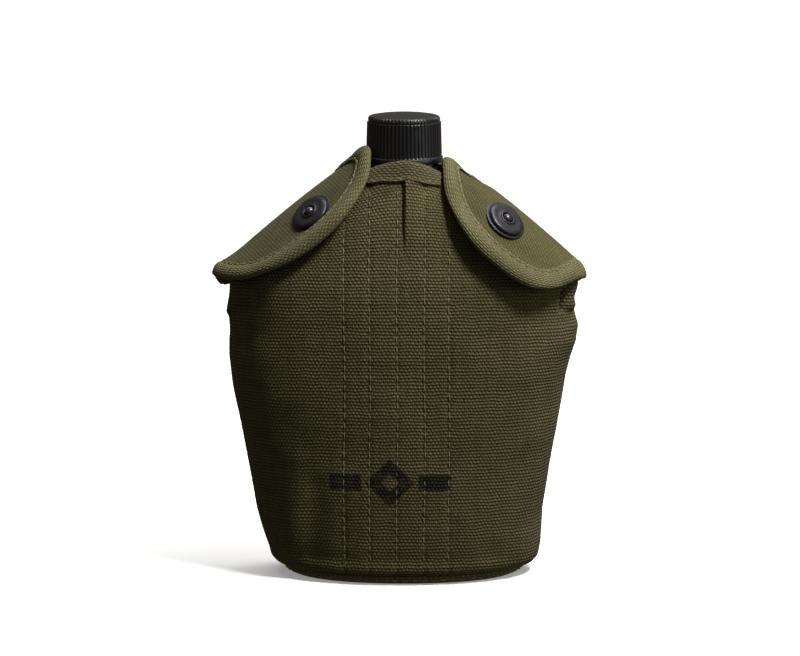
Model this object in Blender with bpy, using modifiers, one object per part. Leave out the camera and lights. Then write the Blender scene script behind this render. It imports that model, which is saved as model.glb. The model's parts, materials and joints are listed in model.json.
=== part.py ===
"""A one-quart steel canteen in a canvas belt cover with two snap-down shoulder flaps.

The front faces -Y, +Z is up, and the object stands on the XY plane. Lengths below are in
millimetres and MM turns them into metres.
"""

import math

import bmesh
import bpy
from mathutils import Matrix, Vector

MM = 0.001

# Cover form: height, half width, front depth, back depth, hollow of the back.
COVER_STATIONS = (
    (0.0, 56.0, 35.0, 25.0, 0.0),
    (3.0, 60.0, 37.5, 27.0, 0.0),
    (9.0, 65.5, 39.5, 29.0, 2.0),
    (22.0, 68.7, 41.0, 31.0, 5.0),
    (54.0, 74.0, 42.5, 33.0, 9.0),
    (98.0, 82.0, 43.5, 34.0, 9.0),
    (132.0, 86.4, 43.0, 34.0, 8.0),
    (147.0, 87.0, 41.5, 33.0, 6.0),
    (153.0, 84.2, 40.5, 32.3, 4.5),
    (160.0, 76.6, 39.0, 31.2, 3.0),
    (172.0, 61.8, 36.0, 29.5, 1.0),
    (183.0, 48.2, 32.5, 27.5, 0.0),
    (195.0, 33.4, 28.0, 25.0, 0.0),
    (205.0, 21.0, 24.2, 22.6, 0.0),
    (214.0, 10.0, 22.2, 21.0, 0.0),
)
BOTTLE_STATIONS = (
    (6.0, 46.0, 25.0, 15.0, 0.0),
    (9.5, 54.5, 30.5, 19.5, 2.0),
    (18.0, 60.0, 34.0, 23.5, 5.0),
    (54.0, 66.0, 36.0, 26.5, 9.0),
    (98.0, 74.0, 37.0, 27.5, 9.0),
    (132.0, 78.5, 36.5, 27.5, 8.0),
    (145.0, 79.0, 35.0, 26.5, 6.0),
    (154.0, 72.0, 33.0, 25.3, 3.5),
    (168.0, 54.0, 29.5, 23.5, 1.0),
    (180.0, 36.5, 25.0, 21.5, 0.0),
    (188.0, 23.0, 20.0, 19.2, 0.0),
    (191.5, 16.8, 16.8, 16.8, 0.0),
)
SQUARENESS = 2.2
HOLLOW_REACH = 0.62

# Fabric and metal layers, measured outwards from the cover form.
CANVAS = 1.2
INNER_STRIP_TOP = -2.0
INNER_STRIP = 0.7
FELT_TOP = -3.5
FELT = 1.8
SIDE_TAPE_TOP = -2.7
FLAP_TOP = 4.0
FLAP_MIDDLE = FLAP_TOP - CANVAS / 2
ROLL_MIDDLE = 3.0
ROLL_RADIUS = 2.2
BOTTLE_WALL = 0.8

# Heights of the cover's edges.
PANEL_BOTTOM = 5.6
FRONT_TOP_MIDDLE = 199.0
FRONT_TOP_DROP = 2.5
BACK_TOP = 205.0
TOP_BINDING_HALF = 17.2
TOP_BINDING_HEIGHT = 9.7
TOP_BINDING_DROP = 4.6
TOP_BINDING = 2.2
LINING_LOW = 10.0
LINING_HIGH = 192.0
LINING_EDGE = math.radians(9)
STAY_LOW = 9.0
STAY_HIGH = 194.0
STAY_HALF = 33.0
SIDE_TAPE_LOW = 16.0
SIDE_TAPE_HIGH = 142.0
SIDE_TAPE_REACH = math.radians(6)
SEAM_GAP = 0.45
SEAM_EASE = 0.45
WELD_HEIGHT = 100.0

# The shoulders' ridge lines, which the flaps turn about.
RIDGE_SLOPE = math.radians(39)
RIDGE_START_X = 25.7
RIDGE_START_Z = 205.6
ARCH = 30.0
ARC_RADIUS = 33.0
FLAP_CENTRE = 37.5
FLAP_HALF = 50.5
FLAP_REACH = 42.0
FLAP_POWER = 2.3
NECK_PULL = 12.0
NECK_PULL_ARC = 15.0
NECK_LIFT = 4.5
NECK_LIFT_FROM = 6.0
NECK_LIFT_OVER = 14.0
FLAP_START_ARC = 1.4
ROLL_START_ARC = 3.2

# Snaps: how far along each ridge, and how far round the shoulder in radians.
SNAP_ALONG = {"left": 29.0, "right": 34.5}
SNAP_ROUND = {"left": math.radians(41), "right": math.radians(41)}
SIDES = {"left": -1, "right": 1}

# Bottle neck and cap.
NECK_BORE = 12.8
NECK_CORE = 14.2
NECK_THREAD = 15.2
CAP_BORE = 15.7
CAP_THREAD = 14.6
THREAD_PITCH = 4.0
THREAD_ROOT_HALF = 0.8
THREAD_CREST_HALF = 0.45
NECK_TOP = 223.0
CAP_BOTTOM = 207.0
CAP_TOP = 230.0
CAP_CEILING = 226.0
ROUND_STEPS = 28
THREAD_STEPS = 14

# Belt strap and hook.
STRAP_HALF = 16.0
STRAP = 1.6
STRAP_BOTTOM = 96.0
STRAP_TAIL = 128.0
BAR_HEIGHT = 164.0
BAR_OFF_STRAP = 3.1
WIRE = 1.5


def smooth_rows(stations):
    """Slopes for a cubic through the stations that never overshoots them."""
    columns = list(zip(*stations))
    heights = columns[0]
    slopes = []
    for values in columns[1:]:
        rises = [
            (values[k + 1] - values[k]) / (heights[k + 1] - heights[k])
            for k in range(len(heights) - 1)
        ]
        inner = [
            2 * low * high / (low + high) if low * high > 0 else 0.0
            for low, high in zip(rises, rises[1:])
        ]
        slopes.append([rises[0], *inner, rises[-1]])
    return heights, columns[1:], slopes


class Form:
    """Oval sections stacked along Z, flatter and hollowed at the back."""

    def __init__(self, stations):
        self.heights, self.values, self.slopes = smooth_rows(stations)

    def section(self, z):
        heights = self.heights
        z = min(max(z, heights[0]), heights[-1])
        k = 0
        while k < len(heights) - 2 and z > heights[k + 1]:
            k += 1
        step = heights[k + 1] - heights[k]
        u = (z - heights[k]) / step
        found = []
        for values, slopes in zip(self.values, self.slopes):
            found.append(
                (1 + 2 * u) * (1 - u) ** 2 * values[k]
                + u * (1 - u) ** 2 * step * slopes[k]
                + u * u * (3 - 2 * u) * values[k + 1]
                + u * u * (u - 1) * step * slopes[k + 1]
            )
        return found

    def point(self, z, turn):
        """turn 0 is +X, a quarter turn is the front, and a negative turn is the back."""
        half, front, back, hollow = self.section(z)
        across = math.cos(turn)
        deep = math.sin(turn)
        x = half * math.copysign(abs(across) ** (2 / SQUARENESS), across)
        if deep >= 0:
            return Vector((x, -front * deep ** (2 / SQUARENESS), z))
        dip = 0.0
        if abs(x) < HOLLOW_REACH * half:
            dip = hollow * math.cos(math.pi / 2 * x / (HOLLOW_REACH * half)) ** 2
        return Vector((x, back * (-deep) ** (2 / SQUARENESS) - dip, z))

    def normal(self, z, turn):
        small = 0.004
        low, high = self.heights[0], self.heights[-1]
        up = self.point(min(z + 0.2, high), turn) - self.point(max(z - 0.2, low), turn)
        around = self.point(z, turn + small) - self.point(z, turn - small)
        return up.cross(around).normalized()

    def off(self, z, turn, distance):
        return self.point(z, turn) + self.normal(z, turn) * distance

    def turn_at(self, x, z):
        """The front turn whose point is at this x."""
        share = min(max(x / self.section(z)[0], -1.0), 1.0)
        return math.acos(math.copysign(abs(share) ** (SQUARENESS / 2), share))


COVER = Form(COVER_STATIONS)
BOTTLE = Form(BOTTLE_STATIONS)


class Shoulder:
    """The ridge line on one side, and the surface that the flap lies on."""

    def __init__(self, side):
        self.start = Vector((side * RIDGE_START_X, 0, RIDGE_START_Z))
        self.along = Vector(
            (side * math.cos(RIDGE_SLOPE), 0, -math.sin(RIDGE_SLOPE))
        )
        self.out = Vector((side * math.sin(RIDGE_SLOPE), 0, math.cos(RIDGE_SLOPE)))

    def inside(self, point):
        fall = (RIDGE_START_Z - point.z) / math.tan(RIDGE_SLOPE)
        half = RIDGE_START_X + fall - FLAP_MIDDLE / math.sin(RIDGE_SLOPE)
        front = COVER.section(point.z)[1]
        if half <= 0:
            return False
        share = (abs(point.x) / half) ** SQUARENESS
        return share + (abs(point.y) / front) ** SQUARENESS < 1

    def base(self, along, round_by):
        """The point of the shoulder's surface seen from its arch's centre line."""
        centre = self.start + self.along * along - self.out * ARCH
        way = self.out * math.cos(round_by) - Vector((0, 1, 0)) * math.sin(round_by)
        low, high = 0.0, 2.5 * ARCH
        for _ in range(40):
            middle = (low + high) / 2
            if self.inside(centre + way * middle):
                low = middle
            else:
                high = middle
        return centre + way * low

    def normal(self, along, round_by):
        down = self.base(along + 0.5, round_by) - self.base(along - 0.5, round_by)
        over = self.base(along, round_by + 0.01) - self.base(along, round_by - 0.01)
        across = down.cross(over).normalized()
        return across if across.dot(self.out) + across.y * -1 > 0 else -across

    def off(self, along, round_by, distance):
        """A point off the surface; the flap's neck end stands up beside the cap."""
        lift = NECK_LIFT * (max(NECK_LIFT_FROM - along, 0) / NECK_LIFT_OVER) ** 2
        raised = self.normal(along, round_by) * distance + self.out * lift
        return self.base(along, round_by) + raised

    def flap_edge(self, arc, inset, end):
        """How far along the flap's outline is at this arc, at its neck (-1) or tip (+1) end."""
        share = min(arc / (FLAP_REACH - inset), 1.0)
        half = (FLAP_HALF - inset) * (1 - share**2) ** (1 / FLAP_POWER)
        pull = 0.0
        if end < 0 and arc < NECK_PULL_ARC:
            pull = NECK_PULL * (1 - arc / NECK_PULL_ARC) ** 2
        return FLAP_CENTRE + end * half + pull

    def snap_frame(self, name):
        """A frame whose Z leaves the cover at the snap, with its origin on the front panel."""
        along, round_by = SNAP_ALONG[name], SNAP_ROUND[name]
        z_axis = self.normal(along, round_by)
        x_axis = self.along - z_axis * self.along.dot(z_axis)
        x_axis.normalize()
        y_axis = z_axis.cross(x_axis)
        turn = Matrix((x_axis, y_axis, z_axis)).transposed().to_4x4()
        return Matrix.Translation(self.base(along, round_by) * MM) @ turn


def clear_scene():
    for obj in list(bpy.data.objects):
        bpy.data.objects.remove(obj, do_unlink=True)


def new_collection(name, hidden=False):
    found = bpy.data.collections.new(name)
    bpy.context.scene.collection.children.link(found)
    found.hide_render = hidden
    return found


def material(name, colour, roughness, metallic=0.0):
    made = bpy.data.materials.new(name)
    made.use_nodes = True
    shader = made.node_tree.nodes["Principled BSDF"]
    shader.inputs["Base Color"].default_value = (*colour, 1)
    shader.inputs["Roughness"].default_value = roughness
    shader.inputs["Metallic"].default_value = metallic
    made.diffuse_color = (*colour, 1)
    return made


clear_scene()
PARTS = new_collection("canteen")
CUTTERS = new_collection("cutters", hidden=True)
CANVAS_CLOTH = material("olive_canvas", (0.10, 0.09, 0.045), 0.9)
TAPE = material("olive_tape", (0.22, 0.21, 0.11), 0.85)
WEBBING = material("olive_webbing", (0.17, 0.16, 0.08), 0.85)
FELT_CLOTH = material("grey_felt", (0.22, 0.20, 0.16), 0.95)
BLACK_PLASTIC = material("black_plastic", (0.01, 0.01, 0.011), 0.4)
STEEL = material("brushed_steel", (0.55, 0.55, 0.56), 0.3, 1.0)
BLACK_METAL = material("blackened_metal", (0.025, 0.024, 0.03), 0.35, 0.6)
SEAL = material("seal_rubber", (0.03, 0.03, 0.03), 0.8)


def add_object(name, mesh, finish, hidden=False):
    obj = bpy.data.objects.new(name, mesh)
    if hidden:
        CUTTERS.objects.link(obj)
        obj.hide_render = True
        obj.display_type = "WIRE"
        return obj
    PARTS.objects.link(obj)
    mesh.materials.append(finish)
    return obj


def shade(mesh, degrees=35):
    mesh.shade_smooth()
    mesh.set_sharp_from_angle(angle=math.radians(degrees))


def sheet(name, columns, rows, place, thickness, finish, ring=False):
    """An open grid laid by place(u, v) in millimetres, thickened away from its outer side."""
    grid = bmesh.new()
    bmesh.ops.create_grid(grid, x_segments=columns, y_segments=rows, size=0.5)
    for vert in grid.verts:
        u, v = vert.co.x + 0.5, vert.co.y + 0.5
        vert.co = place(u, v) * MM
    if ring:
        bmesh.ops.remove_doubles(grid, verts=grid.verts, dist=0.00001)
    mesh = bpy.data.meshes.new(name)
    grid.to_mesh(mesh)
    grid.free()
    shade(mesh)
    obj = add_object(name, mesh, finish)
    shell = obj.modifiers.new("thickness", "SOLIDIFY")
    shell.thickness = thickness * MM
    shell.offset = -1
    shell.use_even_offset = True
    return obj


def turned(name, profile, finish, steps=ROUND_STEPS, frame=None):
    """A profile of (radius, height) turned about Z. It runs down the outer side."""
    points = [(radius * MM, 0, height * MM) for radius, height in profile]
    edges = [(k, k + 1) for k in range(len(points) - 1)]
    if profile[0][0] > 0:
        edges.append((len(points) - 1, 0))
    mesh = bpy.data.meshes.new(name)
    mesh.from_pydata(points, edges, [])
    obj = add_object(name, mesh, finish)
    spin = obj.modifiers.new("turn", "SCREW")
    spin.steps = steps
    spin.render_steps = steps
    spin.use_merge_vertices = True
    spin.merge_threshold = 0.00001
    spin.use_smooth_shade = True
    if frame is not None:
        obj.matrix_world = frame
    return obj


def cutter(name, radius, low, high, frame):
    """A cylinder from low to high on the frame's Z axis, for a Boolean."""
    shape = bmesh.new()
    bmesh.ops.create_cone(
        shape,
        cap_ends=True,
        segments=16,
        radius1=radius * MM,
        radius2=radius * MM,
        depth=(high - low) * MM,
    )
    bmesh.ops.translate(shape, verts=shape.verts, vec=(0, 0, (high + low) / 2 * MM))
    mesh = bpy.data.meshes.new(name)
    shape.to_mesh(mesh)
    shape.free()
    obj = add_object(name, mesh, None, hidden=True)
    obj.matrix_world = frame
    return obj


def combine(obj, other, operation):
    change = obj.modifiers.new(other.name, "BOOLEAN")
    change.operation = operation
    change.object = other
    change.solver = "EXACT"


def thread(name, root, crest, low, turns):
    """A helical ridge from root radius to crest radius, right-handed, rising from low."""
    shape = bmesh.new()
    corners = (
        (root, -THREAD_ROOT_HALF),
        (crest, -THREAD_CREST_HALF),
        (crest, THREAD_CREST_HALF),
        (root, THREAD_ROOT_HALF),
    )
    verts = [shape.verts.new((r * MM, 0, (low + z) * MM)) for r, z in corners]
    face = shape.faces.new(verts)
    steps = round(THREAD_STEPS * turns)
    bmesh.ops.spin(
        shape,
        geom=[face, *face.edges, *face.verts],
        cent=(0, 0, 0),
        axis=(0, 0, 1),
        dvec=(0, 0, THREAD_PITCH * turns / steps * MM),
        angle=2 * math.pi * turns,
        steps=steps,
    )
    bmesh.ops.recalc_face_normals(shape, faces=shape.faces)
    mesh = bpy.data.meshes.new(name)
    shape.to_mesh(mesh)
    shape.free()
    return add_object(name, mesh, None, hidden=True)


def wire(name, points, radius, finish, sides=2):
    """A round rod along a polyline in millimetres."""
    data = bpy.data.curves.new(name, "CURVE")
    data.dimensions = "3D"
    data.bevel_depth = radius * MM
    data.bevel_resolution = sides
    data.use_fill_caps = True
    spline = data.splines.new("POLY")
    spline.points.add(len(points) - 1)
    for target, place in zip(spline.points, points):
        target.co = (place[0] * MM, place[1] * MM, place[2] * MM, 1)
    obj = bpy.data.objects.new(name, data)
    data.materials.append(finish)
    PARTS.objects.link(obj)
    return obj


def move_origin(obj, place):
    """Puts the object's origin on its joint's axis, with its shape where it was."""
    obj.data.transform(Matrix.Translation(-place))
    obj.location = place


def lerp(low, high, share):
    return low + (high - low) * share


def front_turn(u):
    """Turns from the left seam (u 0) round the front to the right seam (u 1)."""
    edge = math.asin((SEAM_GAP / 40) ** (SQUARENESS / 2))
    eased = (1 - SEAM_EASE) * u + SEAM_EASE * (1 - math.cos(math.pi * u)) / 2
    return lerp(math.pi - edge, edge, eased)


def front_top(turn):
    """The front panel's upper edge dips a little beside the cap."""
    return FRONT_TOP_MIDDLE - FRONT_TOP_DROP * math.cos(turn) ** 2


def make_front_panel():
    def place(u, v):
        turn = front_turn(u)
        return COVER.point(lerp(PANEL_BOTTOM, front_top(turn), v), turn)

    panel = sheet("front_panel", 20, 13, place, CANVAS, CANVAS_CLOTH)
    for name, side in SIDES.items():
        frame = Shoulder(side).snap_frame(name)
        combine(panel, cutter(f"{name}_stud_hole", 1.7, -6, 6, frame), "DIFFERENCE")


def make_back_panel():
    def place(u, v):
        turn = -front_turn(1 - u)
        return COVER.point(lerp(PANEL_BOTTOM, BACK_TOP, v), turn)

    sheet("back_panel", 20, 13, place, CANVAS, CANVAS_CLOTH)


def make_linings():
    def front(u, v):
        turn = lerp(math.pi - LINING_EDGE, LINING_EDGE, u)
        return COVER.off(lerp(LINING_LOW, LINING_HIGH, v), turn, FELT_TOP)

    def back(u, v):
        turn = lerp(-LINING_EDGE, LINING_EDGE - math.pi, u)
        return COVER.off(lerp(LINING_LOW, LINING_HIGH, v), turn, FELT_TOP)

    sheet("front_lining", 12, 8, front, FELT, FELT_CLOTH)
    sheet("back_lining", 12, 8, back, FELT, FELT_CLOTH)


def make_front_strip():
    def place(u, v):
        z = lerp(STAY_LOW, STAY_HIGH, v)
        narrowing = min(1.0, COVER.section(z)[0] / 60)
        x = lerp(-STAY_HALF, STAY_HALF, u) * narrowing
        return COVER.off(z, COVER.turn_at(x, z), INNER_STRIP_TOP)

    sheet("front_stay_strip", 4, 10, place, INNER_STRIP, WEBBING)


def make_side_bindings():
    for name, side in SIDES.items():

        def place(u, v, side=side):
            turn = lerp(SIDE_TAPE_REACH, -SIDE_TAPE_REACH, u)
            if side < 0:
                turn += math.pi
            z = lerp(SIDE_TAPE_LOW, SIDE_TAPE_HIGH, v)
            return COVER.off(z, turn, SIDE_TAPE_TOP)

        sheet(f"{name}_side_binding", 4, 10, place, INNER_STRIP, TAPE)


def make_front_top_binding():
    def place(u, v):
        x = lerp(-TOP_BINDING_HALF, TOP_BINDING_HALF, u)
        share = abs(x) / TOP_BINDING_HALF
        low = FRONT_TOP_MIDDLE + 0.5 - 1.1 * share**2
        high = FRONT_TOP_MIDDLE + 0.5 + TOP_BINDING_HEIGHT - TOP_BINDING_DROP * share**1.6
        z = lerp(low, high, v)
        return COVER.off(z, COVER.turn_at(x, z), 0.2)

    sheet("front_top_binding", 12, 3, place, TOP_BINDING, TAPE)


def make_bottom():
    rim = 2.4

    def panel(u, v):
        base = COVER.point(0.0, math.tau * (0.5 - u))
        flat = Vector((base.x, base.y, 0))
        inset = 1 - (rim + 0.6) / max(flat.length, 1.0)
        return flat * inset * v + Vector((0, -4 * (1 - v), 0))

    def band(u, v):
        return COVER.off(lerp(0.35, PANEL_BOTTOM - 0.6, v), math.tau * (0.5 - u), -0.1)

    plate = sheet("bottom_panel", 28, 2, panel, 1.5, CANVAS_CLOTH, ring=True)
    sheet("bottom_binding", 28, 2, band, rim, TAPE, ring=True)
    upright = Matrix.Translation((0, -4 * MM, 0))
    combine(plate, cutter("drain_hole", 3.4, -3, 6, upright), "DIFFERENCE")
    combine(plate, cutter("drain_recess", 5.4, -3, 0.75, upright), "DIFFERENCE")
    eyelet = ((5.0, 0.5), (5.0, 0.1), (2.4, 0.1), (2.4, 2.8), (3.0, 2.8), (3.0, 0.5))
    turned("drain_eyelet", eyelet, BLACK_METAL, 16, upright)
    washer = ((5.6, 2.3), (5.6, 1.85), (3.35, 1.85), (3.35, 2.3))
    turned("drain_washer", washer, BLACK_METAL, 16, upright)


def make_bottle():
    base = BOTTLE_STATIONS[0][0]
    top = BOTTLE_STATIONS[-1][0]
    floor_share = 0.2

    def lower(u, v):
        turn = math.tau * (0.5 - u)
        if v >= floor_share:
            z = lerp(base, WELD_HEIGHT - 0.2, (v - floor_share) / (1 - floor_share))
            return BOTTLE.point(z, turn)
        rim = BOTTLE.point(base, turn)
        share = v / floor_share
        return Vector((rim.x * share, lerp(-5, rim.y, share), base))

    def upper(u, v):
        return BOTTLE.point(lerp(WELD_HEIGHT + 0.2, top, v), math.tau * (0.5 - u))

    sheet("bottle_lower_shell", 24, 10, lower, BOTTLE_WALL, STEEL, ring=True)
    sheet("bottle_upper_shell", 24, 8, upper, BOTTLE_WALL, STEEL, ring=True)


def make_neck():
    profile = (
        (NECK_CORE, NECK_TOP),
        (NECK_CORE, 198.0),
        (15.2, 195.0),
        (17.6, 192.6),
        (17.6, 191.9),
        (NECK_BORE, 191.9),
        (NECK_BORE, NECK_TOP),
    )
    neck = turned("bottle_neck", profile, STEEL)
    ridge = thread("neck_ridge", NECK_CORE - 0.5, NECK_THREAD, 210.0, 2.0)
    combine(neck, ridge, "UNION")


def make_cap():
    profile = (
        (0.0, CAP_TOP),
        (11.0, CAP_TOP - 0.5),
        (16.6, CAP_TOP - 1.3),
        (17.6, CAP_TOP - 2.4),
        (17.9, CAP_TOP - 5.0),
        (18.2, CAP_BOTTOM + 3.4),
        (19.0, CAP_BOTTOM + 2.9),
        (19.0, CAP_BOTTOM + 0.6),
        (18.5, CAP_BOTTOM),
        (CAP_BORE, CAP_BOTTOM),
        (CAP_BORE, CAP_CEILING),
        (0.0, CAP_CEILING),
    )
    cap = turned("cap", profile, BLACK_PLASTIC)
    start = 210.0 - THREAD_PITCH / 2
    ridge = thread("cap_ridge", CAP_BORE + 0.5, CAP_THREAD, start + THREAD_PITCH, 1.5)
    combine(cap, ridge, "UNION")
    ring = (
        (15.2, CAP_CEILING - 0.35),
        (15.2, NECK_TOP + 0.35),
        (11.6, NECK_TOP + 0.35),
        (11.6, CAP_CEILING - 0.35),
    )
    turned("cap_gasket", ring, SEAL, 24)


def make_flap(name, side):
    shoulder = Shoulder(side)
    inset = 2 * ROLL_RADIUS + 1.3
    top_arc = 0.965 * (FLAP_REACH - inset)

    def place(u, v):
        arc = lerp(FLAP_START_ARC, top_arc, v)
        neck = shoulder.flap_edge(arc, inset, -1)
        tip = shoulder.flap_edge(arc, inset, 1)
        share = u if side > 0 else 1 - u
        return shoulder.off(lerp(neck, tip, share), arc / ARC_RADIUS, FLAP_TOP)

    flap = sheet(f"{name}_flap", 12, 7, lambda u, v: place(u, 1 - v), CANVAS, CANVAS_CLOTH)
    frame = shoulder.snap_frame(name)
    combine(flap, cutter(f"{name}_flap_hole", 3.7, -2, 9, frame), "DIFFERENCE")
    return flap


def make_flap_roll(name, side):
    """The tape that wraps the flap's curved edge, as a round roll."""
    shoulder = Shoulder(side)
    reach = FLAP_REACH - ROLL_RADIUS
    first = math.asin(ROLL_START_ARC / reach)
    count = 26
    points = []
    for k in range(count + 1):
        angle = lerp(first, math.pi - first, k / count)
        arc = reach * math.sin(angle)
        end = -1 if angle < math.pi / 2 else 1
        along = shoulder.flap_edge(arc, ROLL_RADIUS, end)
        points.append(shoulder.off(along, arc / ARC_RADIUS, ROLL_MIDDLE))
    return wire(f"{name}_flap_binding", points, ROLL_RADIUS, TAPE)


def make_snap(name, side):
    frame = Shoulder(side).snap_frame(name)
    stud = (
        (0.0, 5.6),
        (1.2, 5.35),
        (1.9, 4.7),
        (2.0, 4.2),
        (1.5, 3.4),
        (1.4, 0.85),
        (4.0, 0.75),
        (4.0, 0.3),
        (1.3, 0.3),
        (1.3, -2.5),
        (0.0, -2.5),
    )
    plate = ((4.4, -1.95), (4.4, -2.5), (1.65, -2.5), (1.65, -1.95))
    clinch = ((5.6, 1.75), (5.6, 1.2), (3.7, 1.2), (3.7, 1.75))
    socket = (
        (3.5, 7.0),
        (4.0, 6.6),
        (4.0, 5.6),
        (10.4, 5.3),
        (11.0, 4.9),
        (11.0, 4.4),
        (3.4, 4.4),
        (2.9, 5.2),
        (2.9, 7.0),
    )
    turned(f"{name}_stud", stud, BLACK_METAL, 14, frame)
    turned(f"{name}_stud_plate", plate, BLACK_METAL, 14, frame)
    moving = [
        turned(f"{name}_clinch_plate", clinch, BLACK_METAL, 16, frame),
        turned(f"{name}_socket", socket, BLACK_METAL, 24, frame),
    ]
    return moving


def make_shoulders():
    for name, side in SIDES.items():
        shoulder = Shoulder(side)
        hinge = bpy.data.objects.new(f"{name}_flap_hinge", None)
        PARTS.objects.link(hinge)
        hinge.location = shoulder.start * MM
        moving = [make_flap(name, side), make_flap_roll(name, side)]
        for piece in moving:
            move_origin(piece, hinge.location)
        moving += make_snap(name, side)
        bpy.context.view_layer.update()
        for piece in moving:
            piece.parent = hinge
            piece.matrix_parent_inverse = hinge.matrix_world.inverted()


def strap_face(z):
    """Y of the strap's inner side, clear of the back panel at the strap's edges."""
    half, _, back, hollow = COVER.section(z)
    share = STRAP_HALF / half
    lobe = back * (1 - share**SQUARENESS) ** (1 / SQUARENESS)
    dip = hollow * math.cos(math.pi / 2 * share / HOLLOW_REACH) ** 2
    return lobe - dip + 0.7


def make_strap_and_hook():
    """The webbing's long leg, its loop round the bar, and its tail, then the hook."""
    bar_y = strap_face(BAR_HEIGHT) + STRAP / 2 + BAR_OFF_STRAP
    path = [
        (strap_face(z) + STRAP / 2, z)
        for z in (STRAP_BOTTOM, 108, 120, 132, 144, 154, BAR_HEIGHT)
    ]
    for degrees in (150, 120, 90, 60, 30, 0, -30):
        turn = math.radians(degrees)
        path.append(
            (
                bar_y + BAR_OFF_STRAP * math.cos(turn),
                BAR_HEIGHT + BAR_OFF_STRAP * math.sin(turn),
            )
        )
    for z in (157, 150, 140, STRAP_TAIL):
        path.append((strap_face(z) + 1.5 * STRAP + 0.5, z))
    last = len(path) - 1

    def place(u, v):
        y, z = path[round(v * last)]
        return Vector((lerp(STRAP_HALF, -STRAP_HALF, u), y, z))

    strap = sheet("belt_strap", 2, last, place, STRAP, WEBBING)
    strap.modifiers["thickness"].offset = 0

    leg_y = bar_y + 2.3
    prong_x = 4.5
    half_wire = [
        (0, bar_y, BAR_HEIGHT),
        (18.2, bar_y, BAR_HEIGHT),
        (19.6, bar_y + 0.2, BAR_HEIGHT - 0.9),
        (20.0, bar_y + 0.6, BAR_HEIGHT - 2.8),
        (18.6, bar_y + 1.6, BAR_HEIGHT - 7),
        (7.0, leg_y, BAR_HEIGHT - 20),
        (prong_x, leg_y + 0.2, BAR_HEIGHT - 25),
        (prong_x, leg_y + 0.2, BAR_HEIGHT - 36),
    ]
    bend = 3.7
    for degrees in (200, 230, 270, 310, 340, 360):
        turn = math.radians(degrees)
        half_wire.append(
            (
                prong_x,
                leg_y + 0.2 + bend + bend * math.cos(turn),
                BAR_HEIGHT - 38 + bend * math.sin(turn),
            )
        )
    half_wire.append((prong_x, leg_y + 0.2 + 2 * bend, BAR_HEIGHT - 30))
    mirrored = [(-x, y, z) for x, y, z in reversed(half_wire[1:])]
    hook = wire("belt_hook", mirrored + half_wire, WIRE, BLACK_METAL)
    move_origin(hook, Vector((0, bar_y * MM, BAR_HEIGHT * MM)))


def stand_on_origin():
    """Parents every piece to one empty, placed so that the object is centred on its base."""
    root = bpy.data.objects.new("canteen_origin", None)
    PARTS.objects.link(root)
    loose = [*PARTS.objects, *CUTTERS.objects]
    pieces = [obj for obj in loose if obj.parent is None and obj is not root]
    bpy.context.view_layer.update()
    graph = bpy.context.evaluated_depsgraph_get()
    low = Vector((math.inf,) * 3)
    high = Vector((-math.inf,) * 3)
    for obj in PARTS.objects:
        if obj.type == "EMPTY":
            continue
        shown = obj.evaluated_get(graph)
        mesh = shown.to_mesh()
        for vert in mesh.vertices:
            place = shown.matrix_world @ vert.co
            low = Vector(map(min, low, place))
            high = Vector(map(max, high, place))
        shown.to_mesh_clear()
    for obj in pieces:
        obj.parent = root
    root.location = (-(low.x + high.x) / 2, -(low.y + high.y) / 2, -low.z)


def main():
    make_bottle()
    make_neck()
    make_cap()
    make_front_panel()
    make_back_panel()
    make_linings()
    make_front_strip()
    make_side_bindings()
    make_front_top_binding()
    make_bottom()
    make_shoulders()
    make_strap_and_hook()
    stand_on_origin()


main()
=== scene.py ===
"""Looks of a one-quart canteen in its canvas belt cover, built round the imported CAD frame.

Shapes are worked out in millimetres in the cover's own axes, whose Z axis is the cap's axis,
and to_frame() turns them into metres in the frame. The front faces -Y.
"""

import json
import math

import bpy
import numpy as np
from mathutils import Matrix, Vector

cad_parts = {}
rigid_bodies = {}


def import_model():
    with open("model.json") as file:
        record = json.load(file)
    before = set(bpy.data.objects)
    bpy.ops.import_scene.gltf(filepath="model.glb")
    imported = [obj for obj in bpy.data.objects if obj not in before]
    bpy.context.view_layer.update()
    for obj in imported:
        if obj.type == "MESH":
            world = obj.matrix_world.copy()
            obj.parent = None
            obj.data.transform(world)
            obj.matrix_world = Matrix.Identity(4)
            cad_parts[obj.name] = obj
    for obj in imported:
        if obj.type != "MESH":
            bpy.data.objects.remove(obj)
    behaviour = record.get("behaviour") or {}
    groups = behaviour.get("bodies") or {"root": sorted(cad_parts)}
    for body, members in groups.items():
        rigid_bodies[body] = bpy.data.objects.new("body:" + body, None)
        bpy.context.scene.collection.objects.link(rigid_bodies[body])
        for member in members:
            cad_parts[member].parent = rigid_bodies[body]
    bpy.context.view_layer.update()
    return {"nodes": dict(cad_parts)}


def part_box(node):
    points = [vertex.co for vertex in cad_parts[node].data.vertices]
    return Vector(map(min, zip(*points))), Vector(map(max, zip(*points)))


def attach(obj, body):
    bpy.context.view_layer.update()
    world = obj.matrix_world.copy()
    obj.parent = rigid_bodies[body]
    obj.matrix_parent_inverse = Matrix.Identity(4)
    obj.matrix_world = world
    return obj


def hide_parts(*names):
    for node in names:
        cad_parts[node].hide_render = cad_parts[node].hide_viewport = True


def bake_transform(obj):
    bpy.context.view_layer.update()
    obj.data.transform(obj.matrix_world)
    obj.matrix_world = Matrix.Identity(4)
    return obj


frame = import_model()

MM = 0.001
cap_low, cap_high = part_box("cap")
AXIS = np.array(((cap_low.x + cap_high.x) / 2, (cap_low.y + cap_high.y) / 2, 0.0)) / MM

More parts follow.
